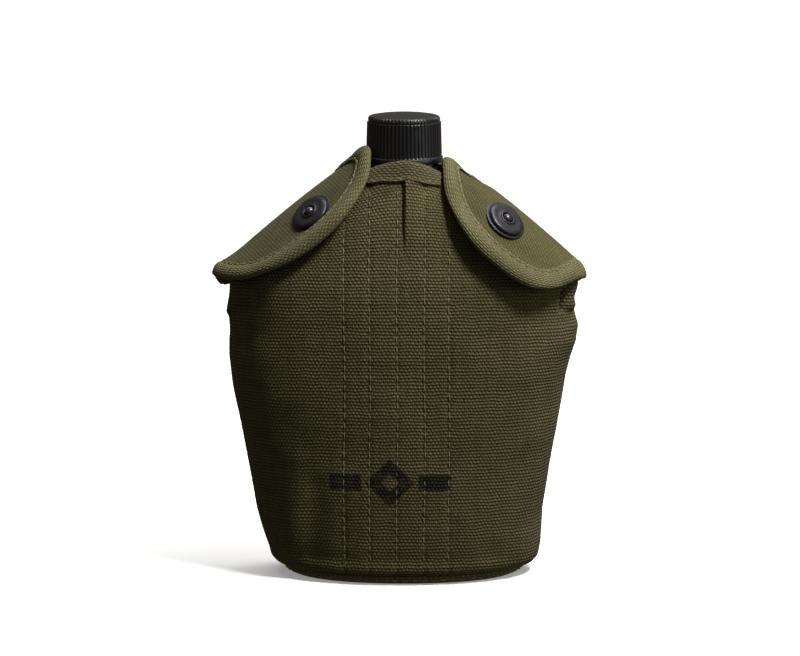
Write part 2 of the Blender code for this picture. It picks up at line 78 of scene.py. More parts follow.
# Cover form: height, half width, front depth, back depth, hollow of the back.
COVER_ROWS = (
    (0.0, 56.0, 35.0, 25.0, 0.0),
    (3.0, 60.0, 37.5, 27.0, 0.0),
    (9.0, 65.5, 39.5, 29.0, 2.0),
    (22.0, 68.7, 41.0, 31.0, 5.0),
    (54.0, 74.0, 42.5, 33.0, 9.0),
    (98.0, 82.0, 43.5, 34.0, 9.0),
    (132.0, 86.4, 43.0, 34.0, 8.0),
    (147.0, 87.0, 41.5, 33.0, 6.0),
    (153.0, 84.2, 40.5, 32.3, 4.5),
    (160.0, 76.6, 39.0, 31.2, 3.0),
    (172.0, 61.8, 36.0, 29.5, 1.0),
    (183.0, 48.2, 32.5, 27.5, 0.0),
    (195.0, 33.4, 28.0, 25.0, 0.0),
    (205.0, 21.0, 24.2, 22.6, 0.0),
    (214.0, 10.0, 22.2, 21.0, 0.0),
)
SQUARENESS = 2.2
HOLLOW_REACH = 0.62
# The front and back stop this far from the middle plane, where the form is about this deep.
SEAM_GAP = 0.1
SEAM_DEPTH = 40.0
SEAM_TURN = math.asin((SEAM_GAP / SEAM_DEPTH) ** (SQUARENESS / 2))

# Cloth layers, measured outwards from the cover form.
CANVAS = 1.2
FLAP_TOP = 4.0
FLAP_MIDDLE = 3.4
PANEL_BOTTOM = 5.6
FRONT_TOP = 201.5
FRONT_TOP_DROP = 4.0
BACK_TOP = 205.0

# The shoulders' ridge lines, which the flaps turn about.
RIDGE_SLOPE = math.radians(39)
RIDGE_START_X = 25.7
RIDGE_START_Z = 205.6
ARCH = 30.0
ARC_RADIUS = 33.0
FLAP_OUTLINE = {
    # Reach down the front, centre, half length to the neck and to the tip, and their powers.
    "left": (42.1, 34.5, 49.2, 54.3, 2.24, 2.24),
    "right": (48.3, 40.7, 51.8, 42.6, 2.11, 3.6),
}
SIDES = {"left": -1, "right": 1}
# How far each flap's cloth runs down behind the ridge.
FLAP_BEHIND = 11.0
# How far the neck end is cut back along the ridge, and the arc over which it is.
NECK_PULL = {"left": (14.5, 15.5), "right": (17.4, 17.4)}
# How the neck end stands up, from where and over what length, and shifts towards the cap.
NECK_LIFT = {"left": 2.0, "right": 0.3}
NECK_LIFT_FROM = 6.0
NECK_LIFT_OVER = 14.0
NECK_SHIFT = {"left": 1.5, "right": -0.5}
# How far the ridge dips beside the neck end.
NECK_SINK = {"left": 0.0, "right": 2.6}
# How far the tip hangs, where along the ridge, and the arcs between which the hang grows.
TIP_DROOP = {"left": (5.4, 80.5, 0.0, -9.0), "right": (5.5, 88.0, 30.0, 4.0)}
TIP_RISE = {"left": 1.2, "right": 0.6}
# How far the flap's lower edge stands off, and how the cloth stands up all along the ridge.
FLAP_FLARE = {"left": 4.6, "right": 5.0}
RIDGE_RISE = {"left": 1.0, "right": -0.3}
RIDGE_BULGE = {"left": 1.6, "right": 2.2}
# Where those act: arcs, places along the ridge, and the middle and width of a bell.
LIFT_ARCS = (-5.0, 3.0)
RIDGE_MIDDLE, RIDGE_HALF, RIDGE_ARC = 36.0, 52.0, 15.0
SINK_ENDS = ((24.0, 5.0), (-14.0, 3.0))
SINK_ARC = 9.0
TIP_BELL = (82.0, 7.0)
DROOP_WIDTH = 9.0
FLARE_INSIDE = (17.0, 1.0)
SHIFT_ARCS = ((3.0, 18.0), (38.0, 20.0))
SHIFT_ALONG = (14.0, -6.0)
SNAP_ALONG = {"left": 29.0, "right": 34.5}
SNAP_ROUND = math.radians(41)

# Stitching and the pressed fold on the front.
STITCH_COLUMNS = (-29.5, -17.0, -3.5, 10.0, 22.0)
PLEAT_X = 0.4
STITCH_PITCH = 4.8
STITCH_LENGTH = 3.1
STITCH_RINGS = 5
STITCH_SIDES = 6

# The screw thread: pitch, steps a turn, and how near the crest and how high each corner is.
THREAD_PITCH = 4.0
THREAD_STEPS = 72
THREAD_CORNERS = ((0.0, -0.9), (0.75, -0.5), (1.0, 0.0), (0.75, 0.5), (0.0, 0.9), (-0.3, 0.0))

DRAIN_MIDDLE = np.array((0.0, -4.0, 0.0))
DRAIN_HOLE = 3.5


def srgb(red, green, blue):
    """Linear colour of 8-bit display values."""
    scaled = np.array((red, green, blue)) / 255
    linear = np.where(scaled <= 0.04045, scaled / 12.92, ((scaled + 0.055) / 1.055) ** 2.4)
    return (*linear, 1.0)


def lerp(low, high, share):
    return low + (high - low) * share


def smoothstep(low, high, value):
    share = np.clip((value - low) / (high - low), 0, 1)
    return share * share * (3 - 2 * share)


def bump_of(value, centre, width):
    """A bell of height 1."""
    return np.exp(-(((value - centre) / width) ** 2))


def to_frame(points):
    return (np.asarray(points, float) + AXIS) * MM


# --- the cover's form


def cubic_table(rows):
    """Heights, values and slopes of cubics through the rows that never overshoot them."""
    table = np.array(rows, float)
    heights, values = table[:, 0], table[:, 1:]
    rises = np.diff(values, axis=0) / np.diff(heights)[:, None]
    low, high = rises[:-1], rises[1:]
    same_way = low * high > 0
    inner = np.where(same_way, 2 * low * high / np.where(same_way, low + high, 1), 0)
    return heights, values, np.vstack((rises[:1], inner, rises[-1:]))


COVER = cubic_table(COVER_ROWS)


def section(z):
    """Half width, front depth, back depth and hollow at each height."""
    heights, values, slopes = COVER
    z = np.clip(z, heights[0], heights[-1])
    k = np.clip(np.searchsorted(heights, z, side="right") - 1, 0, len(heights) - 2)
    step = (heights[k + 1] - heights[k])[..., None]
    u = (z - heights[k])[..., None] / step
    found = (
        (1 + 2 * u) * (1 - u) ** 2 * values[k]
        + u * (1 - u) ** 2 * step * slopes[k]
        + u * u * (3 - 2 * u) * values[k + 1]
        + u * u * (u - 1) * step * slopes[k + 1]
    )
    return np.moveaxis(found, -1, 0)


def cover_point(z, turn):
    """turn 0 is +X, a quarter turn is the front, and a negative turn is the back."""
    z, turn = np.broadcast_arrays(np.asarray(z, float), np.asarray(turn, float))
    half, front, back, hollow = section(z)
    across, deep = np.cos(turn), np.sin(turn)
    x = half * np.copysign(np.abs(across) ** (2 / SQUARENESS), across)
    rounded = np.abs(deep) ** (2 / SQUARENESS)
    reach = HOLLOW_REACH * half
    dip = np.where(np.abs(x) < reach, hollow * np.cos(np.pi / 2 * x / reach) ** 2, 0)
    y = np.where(deep >= 0, -front * rounded, back * rounded - dip)
    return np.stack((x, y, z), axis=-1)


def off_cover(z, turn, off):
    """The point this far off the cover's form."""
    return cover_point(z, turn) + cover_normal(z, turn) * off


def unit(vectors):
    length = np.linalg.norm(vectors, axis=-1, keepdims=True)
    return vectors / np.maximum(length, 1e-9)


def cover_normal(z, turn):
    z, turn = np.broadcast_arrays(np.asarray(z, float), np.asarray(turn, float))
    low, high = COVER[0][0], COVER[0][-1]
    raised, lowered = np.minimum(z + 0.2, high), np.maximum(z - 0.2, low)
    up = cover_point(raised, turn) - cover_point(lowered, turn)
    around = cover_point(z, turn + 0.004) - cover_point(z, turn - 0.004)
    return unit(np.cross(up, around))


# How far the sides of the worn cover stand out from its form: height, left side, right side.
SLUMP = np.array((
    (6, 0.0, 1.0), (14, 1.2, 1.4), (22, 2.6, 0.6), (32, 3.6, -0.7), (60, 3.8, -1.0),
    (100, 3.9, -1.3), (110, 3.6, -0.6), (118, 2.4, 1.0), (126, 0.6, 0.4), (134, 0.0, -2.6),
    (142, 0.0, -1.2), (148, 0.0, 0.0),
))


def slumped(points):
    """Points of the cover form moved to where the worn cover's sides are."""
    x, z = points[..., 0], points[..., 2]
    share = np.abs(x) / section(z)[0]
    left, right = (np.interp(z, SLUMP[:, 0], SLUMP[:, column]) for column in (1, 2))
    out = np.where(x < 0, left, right)
    moved = points.copy()
    moved[..., 0] += np.sign(x) * out * smoothstep(0.45, 1.0, share)
    return moved


def turn_at(x, z):
    """The front turn whose point is at this x."""
    share = np.clip(np.asarray(x) / section(np.asarray(z, float))[0], -1, 1)
    return np.arccos(np.copysign(np.abs(share) ** (SQUARENESS / 2), share))


class Shoulder:
    """The ridge line on one side, and the surface that the flap lies on."""

    def __init__(self, name):
        side = SIDES[name]
        self.name = name
        self.side = side
        self.start = np.array((side * RIDGE_START_X, 0, RIDGE_START_Z))
        self.along = np.array((side * math.cos(RIDGE_SLOPE), 0, -math.sin(RIDGE_SLOPE)))
        self.out = np.array((side * math.sin(RIDGE_SLOPE), 0, math.cos(RIDGE_SLOPE)))
        self.reach = FLAP_OUTLINE[name][0]

    def inside(self, points):
        """Whether points lie within the cover's form and under the ridge's slope."""
        fall = (RIDGE_START_Z - points[..., 2]) / math.tan(RIDGE_SLOPE)
        half = RIDGE_START_X + fall - FLAP_MIDDLE / math.sin(RIDGE_SLOPE)
        _, front, back, _ = section(points[..., 2])
        depth = np.where(points[..., 1] < 0, front, back)
        across = np.abs(points[..., 0]) / np.maximum(half, 1e-6)
        deep = np.abs(points[..., 1]) / depth
        return (half > 0) & (across**SQUARENESS + deep**SQUARENESS < 1)

    def base(self, along, turn):
        """The point of the shoulder's surface seen from its arch's centre line."""
        along, turn = np.broadcast_arrays(np.asarray(along, float), np.asarray(turn, float))
        centre = self.start + along[..., None] * self.along - self.out * ARCH
        front = np.array((0.0, -1.0, 0.0))
        way = self.out * np.cos(turn)[..., None] + front * np.sin(turn)[..., None]
        low = np.zeros(along.shape)
        high = np.full(along.shape, 2.5 * ARCH)
        for _ in range(26):
            middle = (low + high) / 2
            within = self.inside(centre + way * middle[..., None])
            low = np.where(within, middle, low)
            high = np.where(within, high, middle)
        return centre + way * low[..., None]

    def normal(self, along, turn):
        down = self.base(along + 0.5, turn) - self.base(along - 0.5, turn)
        over = self.base(along, turn + 0.012) - self.base(along, turn - 0.012)
        across = unit(np.cross(down, over))
        facing = across @ self.out - across[..., 1]
        return across * np.where(facing > 0, 1, -1)[..., None]

    def off(self, along, arc, distance):
        """A point this far off the surface, with the worn flap's rises, dips and shifts added."""
        along, arc = np.broadcast_arrays(np.asarray(along, float), np.asarray(arc, float))
        distance = np.broadcast_to(np.asarray(distance, float), along.shape)
        turn = arc / ARC_RADIUS
        lift = (np.maximum(NECK_LIFT_FROM - along, 0) / NECK_LIFT_OVER) ** 2
        lift = NECK_LIFT[self.name] * lift * smoothstep(*LIFT_ARCS, arc)
        middle = np.clip(1 - ((along - RIDGE_MIDDLE) / RIDGE_HALF) ** 2, 0, 1)
        near_ridge = np.exp(-((arc / RIDGE_ARC) ** 2)) * smoothstep(-FLAP_BEHIND, -3, arc)
        rise = (RIDGE_RISE[self.name] + RIDGE_BULGE[self.name] * middle) * near_ridge
        sink = smoothstep(*SINK_ENDS[0], along) * smoothstep(*SINK_ENDS[1], along)
        rise = rise - NECK_SINK[self.name] * sink * np.exp(-((arc / SINK_ARC) ** 2))
        rise = rise + TIP_RISE[self.name] * bump_of(along, *TIP_BELL) * near_ridge
        flare = smoothstep(self.reach - FLARE_INSIDE[0], self.reach - FLARE_INSIDE[1], arc)
        distance = distance + FLAP_FLARE[self.name] * flare
        fall, fall_along, fall_from, fall_full = TIP_DROOP[self.name]
        hanging = smoothstep(fall_from, fall_full, arc)
        droop = fall * bump_of(along, fall_along, DROOP_WIDTH) * hanging
        inward = smoothstep(*SHIFT_ARCS[0], arc) * smoothstep(*SHIFT_ARCS[1], arc)
        inward = inward * smoothstep(*SHIFT_ALONG, along)
        raised = self.normal(along, turn) * distance[..., None]
        point = self.base(along, turn) + raised + self.out * (lift + rise)[..., None]
        point[..., 0] -= self.side * NECK_SHIFT[self.name] * inward
        point[..., 2] -= droop
        return point

    def edge(self, angle, inset):
        """(along, arc) on the flap's outline; below 0 and above pi it runs straight back."""
        angle, inset = np.broadcast_arrays(np.asarray(angle, float), np.asarray(inset, float))
        reach, centre, neck, tip, neck_power, tip_power = FLAP_OUTLINE[self.name]
        most_pull, pull_arc = NECK_PULL[self.name]
        curve = np.clip(angle, 0, np.pi)
        beyond = np.where(angle < 0, angle, np.where(angle > np.pi, np.pi - angle, 0))
        arc = (reach - inset) * np.sin(curve) + reach * beyond
        turned = np.cos(curve)
        power = np.where(turned > 0, neck_power, tip_power)
        half = (np.where(turned > 0, neck, tip) - inset) * np.abs(turned) ** (2 / power)
        near_neck = (turned > 0) & (arc < pull_arc)
        pull = np.where(near_neck, most_pull * (1 - np.clip(arc, 0, None) / pull_arc) ** 2, 0)
        return centre - np.sign(turned) * half + pull, arc

    def snap_frame(self):
        """Axes whose Z leaves the cover at the snap, and their origin on the shoulder."""
        along = np.array(SNAP_ALONG[self.name])
        turn = np.array(SNAP_ROUND)
        z_axis = self.normal(along, turn)
        x_axis = unit(self.along - z_axis * (self.along @ z_axis))
        y_axis = np.cross(z_axis, x_axis)
        return np.stack((x_axis, y_axis, z_axis), axis=1), self.base(along, turn)


# --- meshes


def link(obj):
    bpy.context.scene.collection.objects.link(obj)
    return obj


def new_mesh(name, points, faces, finish, cloth=None, ink=None, sharp=40):
    mesh = bpy.data.meshes.new(name)
    mesh.from_pydata(to_frame(points).tolist(), [], faces)
    mesh.validate()
    if cloth is not None:
        layer = mesh.attributes.new("cloth", "FLOAT_VECTOR", "POINT")
        layer.data.foreach_set("vector", np.asarray(cloth, np.float32).ravel())
    if ink is not None:
        layer = mesh.attributes.new("ink", "FLOAT", "POINT")
        layer.data.foreach_set("value", np.asarray(ink, np.float32).ravel())
    mesh.materials.append(finish)
    mesh.shade_smooth()
    mesh.set_sharp_from_angle(angle=math.radians(sharp))
    return link(bpy.data.objects.new(name, mesh))


def grid_faces(rows, columns, wrap, start=0):
    """Quads of a grid of vertices numbered row by row."""
    last = columns if wrap else columns - 1
    row, column = np.meshgrid(np.arange(rows - 1), np.arange(last), indexing="ij")
    after = (column + 1) % columns
    corners = (
        row * columns + column,
        row * columns + after,
        (row + 1) * columns + after,
        (row + 1) * columns + column,
    )
    return np.stack(corners, axis=-1).reshape(-1, 4) + start


def slab(name, outer, inner, finish, cloth, ink=None, wrap=False):
    """A closed sheet between two grids of the same size. wrap joins its first and last columns."""
    rows, columns = outer.shape[:2]
    count = rows * columns
    top = grid_faces(rows, columns, wrap)
    bottom = grid_faces(rows, columns, wrap, count)[:, ::-1]
    ids = np.arange(count).reshape(rows, columns)
    if wrap:
        closed = np.append(np.arange(columns), 0)
        rims = [ids[0][closed][::-1], ids[-1][closed]]
    else:
        loop = np.concatenate((ids[0], ids[1:, -1], ids[-1, ::-1][1:], ids[::-1, 0][1:]))
        rims = [loop[::-1]]
    sides = [
        np.stack((rim[:-1], rim[1:], rim[1:] + count, rim[:-1] + count), axis=-1) for rim in rims
    ]
    faces = np.concatenate((top, bottom, *sides)).tolist()
    points = np.concatenate((outer.reshape(-1, 3), inner.reshape(-1, 3)))
    twice = np.tile(cloth.reshape(-1, 3), (2, 1))
    inked = None if ink is None else np.tile(ink.ravel(), 2)
    return new_mesh(name, points, faces, finish, twice, inked)


def tube(name, rings, finish, cloth=None, closed=False):
    """A closed surface through rings, each a row of points, with flat ends unless it closes."""
    rows, columns = rings.shape[:2]
    faces = (grid_faces(rows + closed, columns, wrap=True) % (rows * columns)).tolist()
    if not closed:
        faces.append(list(range(columns))[::-1])
        faces.append(list(range((rows - 1) * columns, rows * columns)))
    return new_mesh(name, rings.reshape(-1, 3), faces, finish, cloth, sharp=60)


def circle(steps, x_axis, y_axis):
    """Points of unit circles in the planes of these axes."""
    turns = (np.arange(steps) * math.tau / steps)[:, None]
    return x_axis[..., None, :] * np.cos(turns) + y_axis[..., None, :] * np.sin(turns)


def ring_points(radius, angle, height):
    return np.stack((radius * np.cos(angle), radius * np.sin(angle), height), axis=-1)


def turned(name, profile, finish, steps=96, ribs=None, place=None, sharp=35):
    """A closed ring or solid from (radius, height) points turned about Z.

    ribs(radius, height, angle) may change the radius. place is (axes, origin)."""
    outline = np.array(profile, float)
    angle = np.arange(steps) * math.tau / steps
    radius = np.repeat(outline[:, :1], steps, axis=1)
    height = np.repeat(outline[:, 1:], steps, axis=1)
    if ribs is not None:
        radius = ribs(radius, height, angle[None, :])
    rings = ring_points(radius, angle, height)
    k = np.arange(steps)
    after = (k + 1) % steps
    if outline[0, 0] == 0:
        rings = rings[1:-1]
        low, first = (len(rings) - 1) * steps, np.full(steps, len(rings) * steps)
        poles = np.array(((0, 0, outline[0, 1]), (0, 0, outline[-1, 1])))
        points = np.concatenate((rings.reshape(-1, 3), poles))
        ends = np.stack((first, k, after, first + 1, low + after, low + k), axis=1).reshape(-1, 3)
    else:
        low = (len(rings) - 1) * steps
        points = rings.reshape(-1, 3)
        ends = np.stack((k, after, low + after, low + k), axis=1)
    faces = grid_faces(len(rings), steps, wrap=True)[:, ::-1].tolist() + ends.tolist()
    if place is not None:
        axes, origin = place
        points = points @ axes.T + origin
    return new_mesh(name, points, faces, finish, sharp=sharp)


def thread_ridge(name, root, crest, low, turns, finish):
    """A helical ridge, right-handed, rising from low, with its ends sunk into the wall."""
    share = np.linspace(0, 1, round(THREAD_STEPS * turns) + 1)
    angle = share * turns * math.tau
    fade = np.minimum(1, np.minimum(share, 1 - share) * turns * 6)
    rings = []
    for reach, rise in THREAD_CORNERS:
        radius = root + (crest - root) * reach * np.where(reach > 0, fade, 1)
        rings.append(ring_points(radius, angle, low + THREAD_PITCH * turns * share + rise))
    loops = np.stack(rings, axis=1)
    if crest < root:
        loops = loops[:, ::-1]
    return tube(name, loops, finish)


def path_length(points):
    return float(np.linalg.norm(np.diff(points, axis=0), axis=1).sum())


def distances(path):
    """How far along a polyline each of its points is."""
    return np.concatenate(([0], np.cumsum(np.linalg.norm(np.diff(path, axis=0), axis=1))))


def along_path(path, positions, values=None):
    """The path's points, or the values at its points, at these distances along it."""
    values = path if values is None else values
    reached = distances(path)
    return np.stack([np.interp(positions, reached, values[:, k]) for k in range(3)], axis=-1)


def stitch_loops(path, normals, radius):
    """Threads along a path, each dipping into the cloth at both ends, as rings of points."""
    starts = np.arange(0.5, path_length(path) - STITCH_LENGTH - 0.3, STITCH_PITCH)
    share = np.linspace(0, 1, STITCH_RINGS)
    positions = starts[:, None] + share[None, :] * STITCH_LENGTH
    centre = along_path(path, positions)
    normal = unit(along_path(path, positions, normals))
    arch = np.sin(np.pi * share)[None, :, None]
    centre = centre + normal * (radius * (1.5 * arch - 0.75))
    forward = unit(np.gradient(centre, axis=1))
    across = unit(np.cross(normal, forward))
    up = np.cross(forward, across)
    wide = radius * (0.6 + 0.4 * arch)[..., None]
    return centre[:, :, None, :] + circle(STITCH_SIDES, across, up) * wide


def stitches(name, runs):
    """One mesh from several runs of threads."""
    loops = np.concatenate(runs)
    size = STITCH_RINGS * STITCH_SIDES
    single = grid_faces(STITCH_RINGS, STITCH_SIDES, wrap=True)
    faces = []
    for first in range(0, len(loops) * size, size):
        faces += (single + first).tolist()
        faces.append(list(range(first, first + STITCH_SIDES))[::-1])
        faces.append(list(range(first + size - STITCH_SIDES, first + size)))
    return new_mesh(name, loops.reshape(-1, 3), faces, THREAD, sharp=80)


def join(piece, body, slot, *nodes):
    """The piece rides on a body and stands for CAD nodes, which it hides; slot is not used."""
    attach(piece, body)
    if nodes:
        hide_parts(*nodes)


def sew(name, runs, slot):
    """Stitches on the cover."""
    join(stitches(name, runs), "cover", slot)


def cloth_of(u, v):
    return np.stack((u, v, np.zeros_like(u)), axis=-1)


def grid_steps(points):
    """The lengths of a grid's steps along its rows and along its columns."""
    return tuple(np.linalg.norm(np.diff(points, axis=axis), axis=-1) for axis in (1, 0))


def grid_cloth(points):
    """Cloth coordinates of a grid, from its middle column and its bottom row."""
    across, up = grid_steps(points)
    u = np.pad(np.cumsum(across, axis=1), ((0, 0), (1, 0)))
    v = np.pad(np.cumsum(up, axis=0), ((1, 0), (0, 0)))
    return cloth_of(u - u[:, u.shape[1] // 2][:, None], v)


def panel(name, outer, inner, finish, measured, ink=None):
    """A slab whose rows run up the cover, turned round so that its faces look outwards."""
    ink = None if ink is None else ink[::-1]
    return slab(name, outer[::-1], inner[::-1], finish, grid_cloth(measured)[::-1], ink)


# --- materials


class Graph:
    """Short calls for a material's nodes."""

    def __init__(self, name):
        self.material = bpy.data.materials.new(name)
        self.material.use_nodes = True
        tree = self.material.node_tree
        self.nodes, self.links = tree.nodes, tree.links
        self.shader = self.nodes["Principled BSDF"]

    def put(self, socket, value):
        if isinstance(value, bpy.types.NodeSocket):
            self.links.new(value, socket)
        else:
            socket.default_value = value

    def set(self, **values):
        """Constant or linked values of the shader, by socket name with _ for a space."""
        for name, value in values.items():
            self.put(self.shader.inputs[name.replace("_", " ").title()], value)

    def node(self, kind, *values, **settings):
        """A new node with these settings and these values in its first sockets."""
        node = self.nodes.new("ShaderNode" + kind)
        for name, setting in settings.items():
            setattr(node, name, setting)
        for socket, value in zip(node.inputs, values):
            self.put(socket, value)
        return node

    def math(self, operation, *values):
        return self.node("Math", *values, operation=operation).outputs[0]

    def add(self, a, b):
        return self.math("ADD", a, b)

    def times(self, a, b):
        return self.math("MULTIPLY", a, b)

    def split(self, vector):
        return self.node("SeparateXYZ", vector).outputs

    def join(self, x, y, z=0.0):
        return self.node("CombineXYZ", x, y, z).outputs[0]

    def attribute(self, name, output="Vector"):
        return self.node("Attribute", attribute_name=name).outputs[output]

    def scaled(self, vector, factor):
        """A vector or a colour times factor."""
        plain = not isinstance(vector, bpy.types.NodeSocket)
        node = self.node("VectorMath", vector[:3] if plain else vector, operation="SCALE")
        self.put(node.inputs["Scale"], factor)
        return node.outputs[0]

    def place(self):
        """Object coordinates in millimetres."""
        return self.scaled(self.node("TexCoord").outputs["Object"], 1 / MM)

    def noise(self, vector, scale, detail, roughness=0.5):
        node = self.node("TexNoise", vector)
        node.inputs["Scale"].default_value = scale
        node.inputs["Detail"].default_value = detail
        node.inputs["Roughness"].default_value = roughness
        return node.outputs["Fac"]

    def range(self, value, low, high, to_low=0.0, to_high=1.0):
        smooth = {"interpolation_type": "SMOOTHSTEP"}
        return self.node("MapRange", value, low, high, to_low, to_high, **smooth).outputs[0]

    def mix(self, share, low, high):
        node = self.node("Mix", share, data_type="RGBA", clamp_factor=True)
        colours = [socket for socket in node.inputs if socket.type == "RGBA"]
        self.put(colours[0], low)
        self.put(colours[1], high)
        return next(socket for socket in node.outputs if socket.type == "RGBA")

    def bump(self, height, distance):
        node = self.node("Bump")
        node.inputs["Strength"].default_value = 1.0
        node.inputs["Distance"].default_value = distance * MM
        self.put(node.inputs["Height"], height)
        self.put(self.shader.inputs["Normal"], node.outputs[0])


def woven(name, pitch, row, gap_shade, thread, depth, wander=0.35, inked=False, beads=0.55):
    """Cloth with rows of staggered yarn knuckles, pitch apart along a row and a row apart up it.

    It reads the cloth attribute, in millimetres along the weft and the warp. beads is how much
    of the relief the knuckles make."""
    g = Graph(name)
    cloth = g.attribute("cloth")
    u, v, _ = g.split(cloth)
    drift = g.add(g.noise(cloth, 0.11, 1.0), -0.5)
    sway = g.add(g.noise(g.join(v, u), 0.13, 1.0), -0.5)
    along = g.add(u, g.times(drift, wander * 4))
    up = g.add(v, g.times(sway, wander * 4))
    across = g.math("COSINE", g.times(along, math.tau / pitch))
    rise = g.math("COSINE", g.times(up, math.pi / row))
    rib = g.math("POWER", g.math("ABSOLUTE", rise), 0.8)
    bead = g.range(g.times(across, rise), -0.5, 1.0)
    height = g.add(g.times(rib, 1 - beads), g.times(bead, beads))
    weft_number = g.math("ROUND", g.times(up, 1 / row))
    yarn = g.noise(g.join(g.times(u, 0.05), g.times(weft_number, 0.37)), 1.0, 3.0)
    warp_number = g.math("ROUND", g.times(along, 2 / pitch))
    end = g.noise(g.join(g.times(warp_number, 0.41), g.times(v, 0.04)), 1.0, 3.0)
    speck = g.noise(cloth, 1.1, 2.0, 0.7)
    uneven = g.add(g.times(g.add(yarn, end), 0.9), 0.1)
    lit = g.times(g.range(speck, 0.25, 0.75, 0.45, 1.3), uneven)
    # Painted shade: the weave's hollows take the darker gap_shade colour and the knuckles the thread's
    # own colour, so the colour darkens with the relief.
    colour = g.mix(g.times(height, lit), gap_shade, thread)
    broad = g.noise(cloth, 0.02, 3.0, 0.6)
    colour = g.scaled(colour, g.range(broad, 0.3, 0.7, 0.9, 1.1))
    if inked:
        ink = g.attribute("ink", "Fac")
        ragged = g.add(ink, g.times(g.add(g.noise(cloth, 0.5, 3.0, 0.7), -0.5), 1.6))
        worn = g.range(g.noise(cloth, 0.09, 3.0, 0.65), 0.3, 0.55, 0.6, 1.0)
        kept = g.add(g.times(height, -0.25), 1.0)
        colour = g.mix(g.times(g.range(ragged, 0.5, -0.5), g.times(worn, kept)), colour, INK)
    g.set(base_color=colour, roughness=0.95, sheen_weight=0.03, sheen_roughness=0.5)
    g.shader.inputs["Specular IOR Level"].default_value = 0.1
    g.bump(g.add(height, g.times(speck, 0.35)), depth)
    return g.material


def metal(name, colour, roughness, metallic, grain, scale):
    """A rubbed metal or paint whose gloss and tone vary a little."""
    g = Graph(name)
    place = g.place()
    cloud = g.noise(place, scale, 4.0, 0.6)
    fine = g.noise(place, scale * 9, 2.0, 0.6)
    g.set(
        base_color=g.scaled(colour, g.range(cloud, 0.3, 0.7, 0.75, 1.25)),
        roughness=g.range(cloud, 0.3, 0.7, roughness - 0.07, roughness + 0.1),
        metallic=metallic,
    )
    g.bump(fine, grain)
    return g.material


def plain_cloth(name, colour, scale, depth):
    """Felt or thread: matted fibres with no weave."""
    g = Graph(name)
    place = g.place()
    fibre = g.noise(place, scale, 5.0, 0.75)
    g.set(
        base_color=g.scaled(colour, g.range(fibre, 0.25, 0.75, 0.6, 1.4)),
        roughness=0.95,
        sheen_weight=0.2,
    )
    g.bump(fibre, depth)
    return g.material


INK = srgb(16, 14, 15)
# In each woven finish the first colour is painted shade for the hollows between the yarns and the second
# is the thread's own colour.
CANVAS_CLOTH = woven(
    "olive_duck", 1.9, 1.66, srgb(44, 39, 20), srgb(106, 100, 69), 0.8, inked=True
)
FLAP_CLOTH = woven(
    "olive_flap_duck", 1.9, 1.66, srgb(48, 45, 25), srgb(84, 81, 51), 0.3, wander=0.1, beads=0.35
)
TAPE_CLOTH = woven(
    "olive_binding_tape", 2.7, 1.2, srgb(58, 54, 31), srgb(116, 112, 80), 0.5, wander=0.3
)
# A darker copy of the binding tape: painted shade for the binding over the front's top edge, in front of
# the neck.
PAINTED_SHADE_TAPE_CLOTH = woven(
    "painted_shade_binding_tape", 2.7, 1.3, srgb(46, 42, 24), srgb(104, 98, 70), 0.5, wander=0.3
)
STRAP_CLOTH = woven(
    "olive_strap_webbing", 2.2, 1.6, srgb(60, 57, 34), srgb(128, 122, 88), 0.4, wander=0.1
)
FELT_CLOTH = plain_cloth("grey_felt", srgb(120, 114, 98), 1.4, 0.5)
THREAD = plain_cloth("olive_thread", srgb(108, 101, 70), 5.0, 0.08)
BLACK_PLASTIC = metal("black_cap_plastic", srgb(17, 16, 18), 0.34, 0.0, 0.02, 1.2)
BLACK_METAL = metal("blackened_brass", srgb(38, 36, 42), 0.34, 0.5, 0.03, 1.0)
BALL_METAL = metal("worn_stud_metal", srgb(78, 76, 82), 0.25, 0.8, 0.02, 1.0)
STEEL = metal("brushed_steel", srgb(190, 190, 192), 0.3, 1.0, 0.03, 0.4)
RUBBER = metal("seal_rubber", srgb(36, 36, 38), 0.8, 0.0, 0.05, 2.0)


# --- the cover's cloth


def even_turns(z_of, shares, low, high, columns):
    """Turns that split each row into even arcs. z_of(share, turn) gives the height."""
    dense = np.linspace(low, high, 361)
    spaced = np.linspace(0, 1, columns)
    rows = []
    for share in shares:
        reached = distances(cover_point(z_of(share, dense), dense))
        rows.append(np.interp(spaced * reached[-1], reached, dense))
    return np.array(rows)


def column_dent(x, z):
    """The stitch columns pull the front in and pucker it between stitches."""
    dent = np.zeros_like(x)
    for column in STITCH_COLUMNS:
        dent -= 0.42 * bump_of(x, column, 1.1)
        dent += 0.12 * np.cos(math.tau * z / (2 * STITCH_PITCH)) * bump_of(x, column, 2.6)
    return dent


def pleat_step(x, z):
    """At the middle top the right side laps over the left."""
    fade = smoothstep(162, 186, z)
    lap = smoothstep(PLEAT_X - 0.4, PLEAT_X + 0.3, x) * np.exp(-np.clip(x - PLEAT_X, 0, None) / 6)
    return fade * (1.9 * lap - 1.5 * bump_of(x, PLEAT_X - 1.1, 1.2))


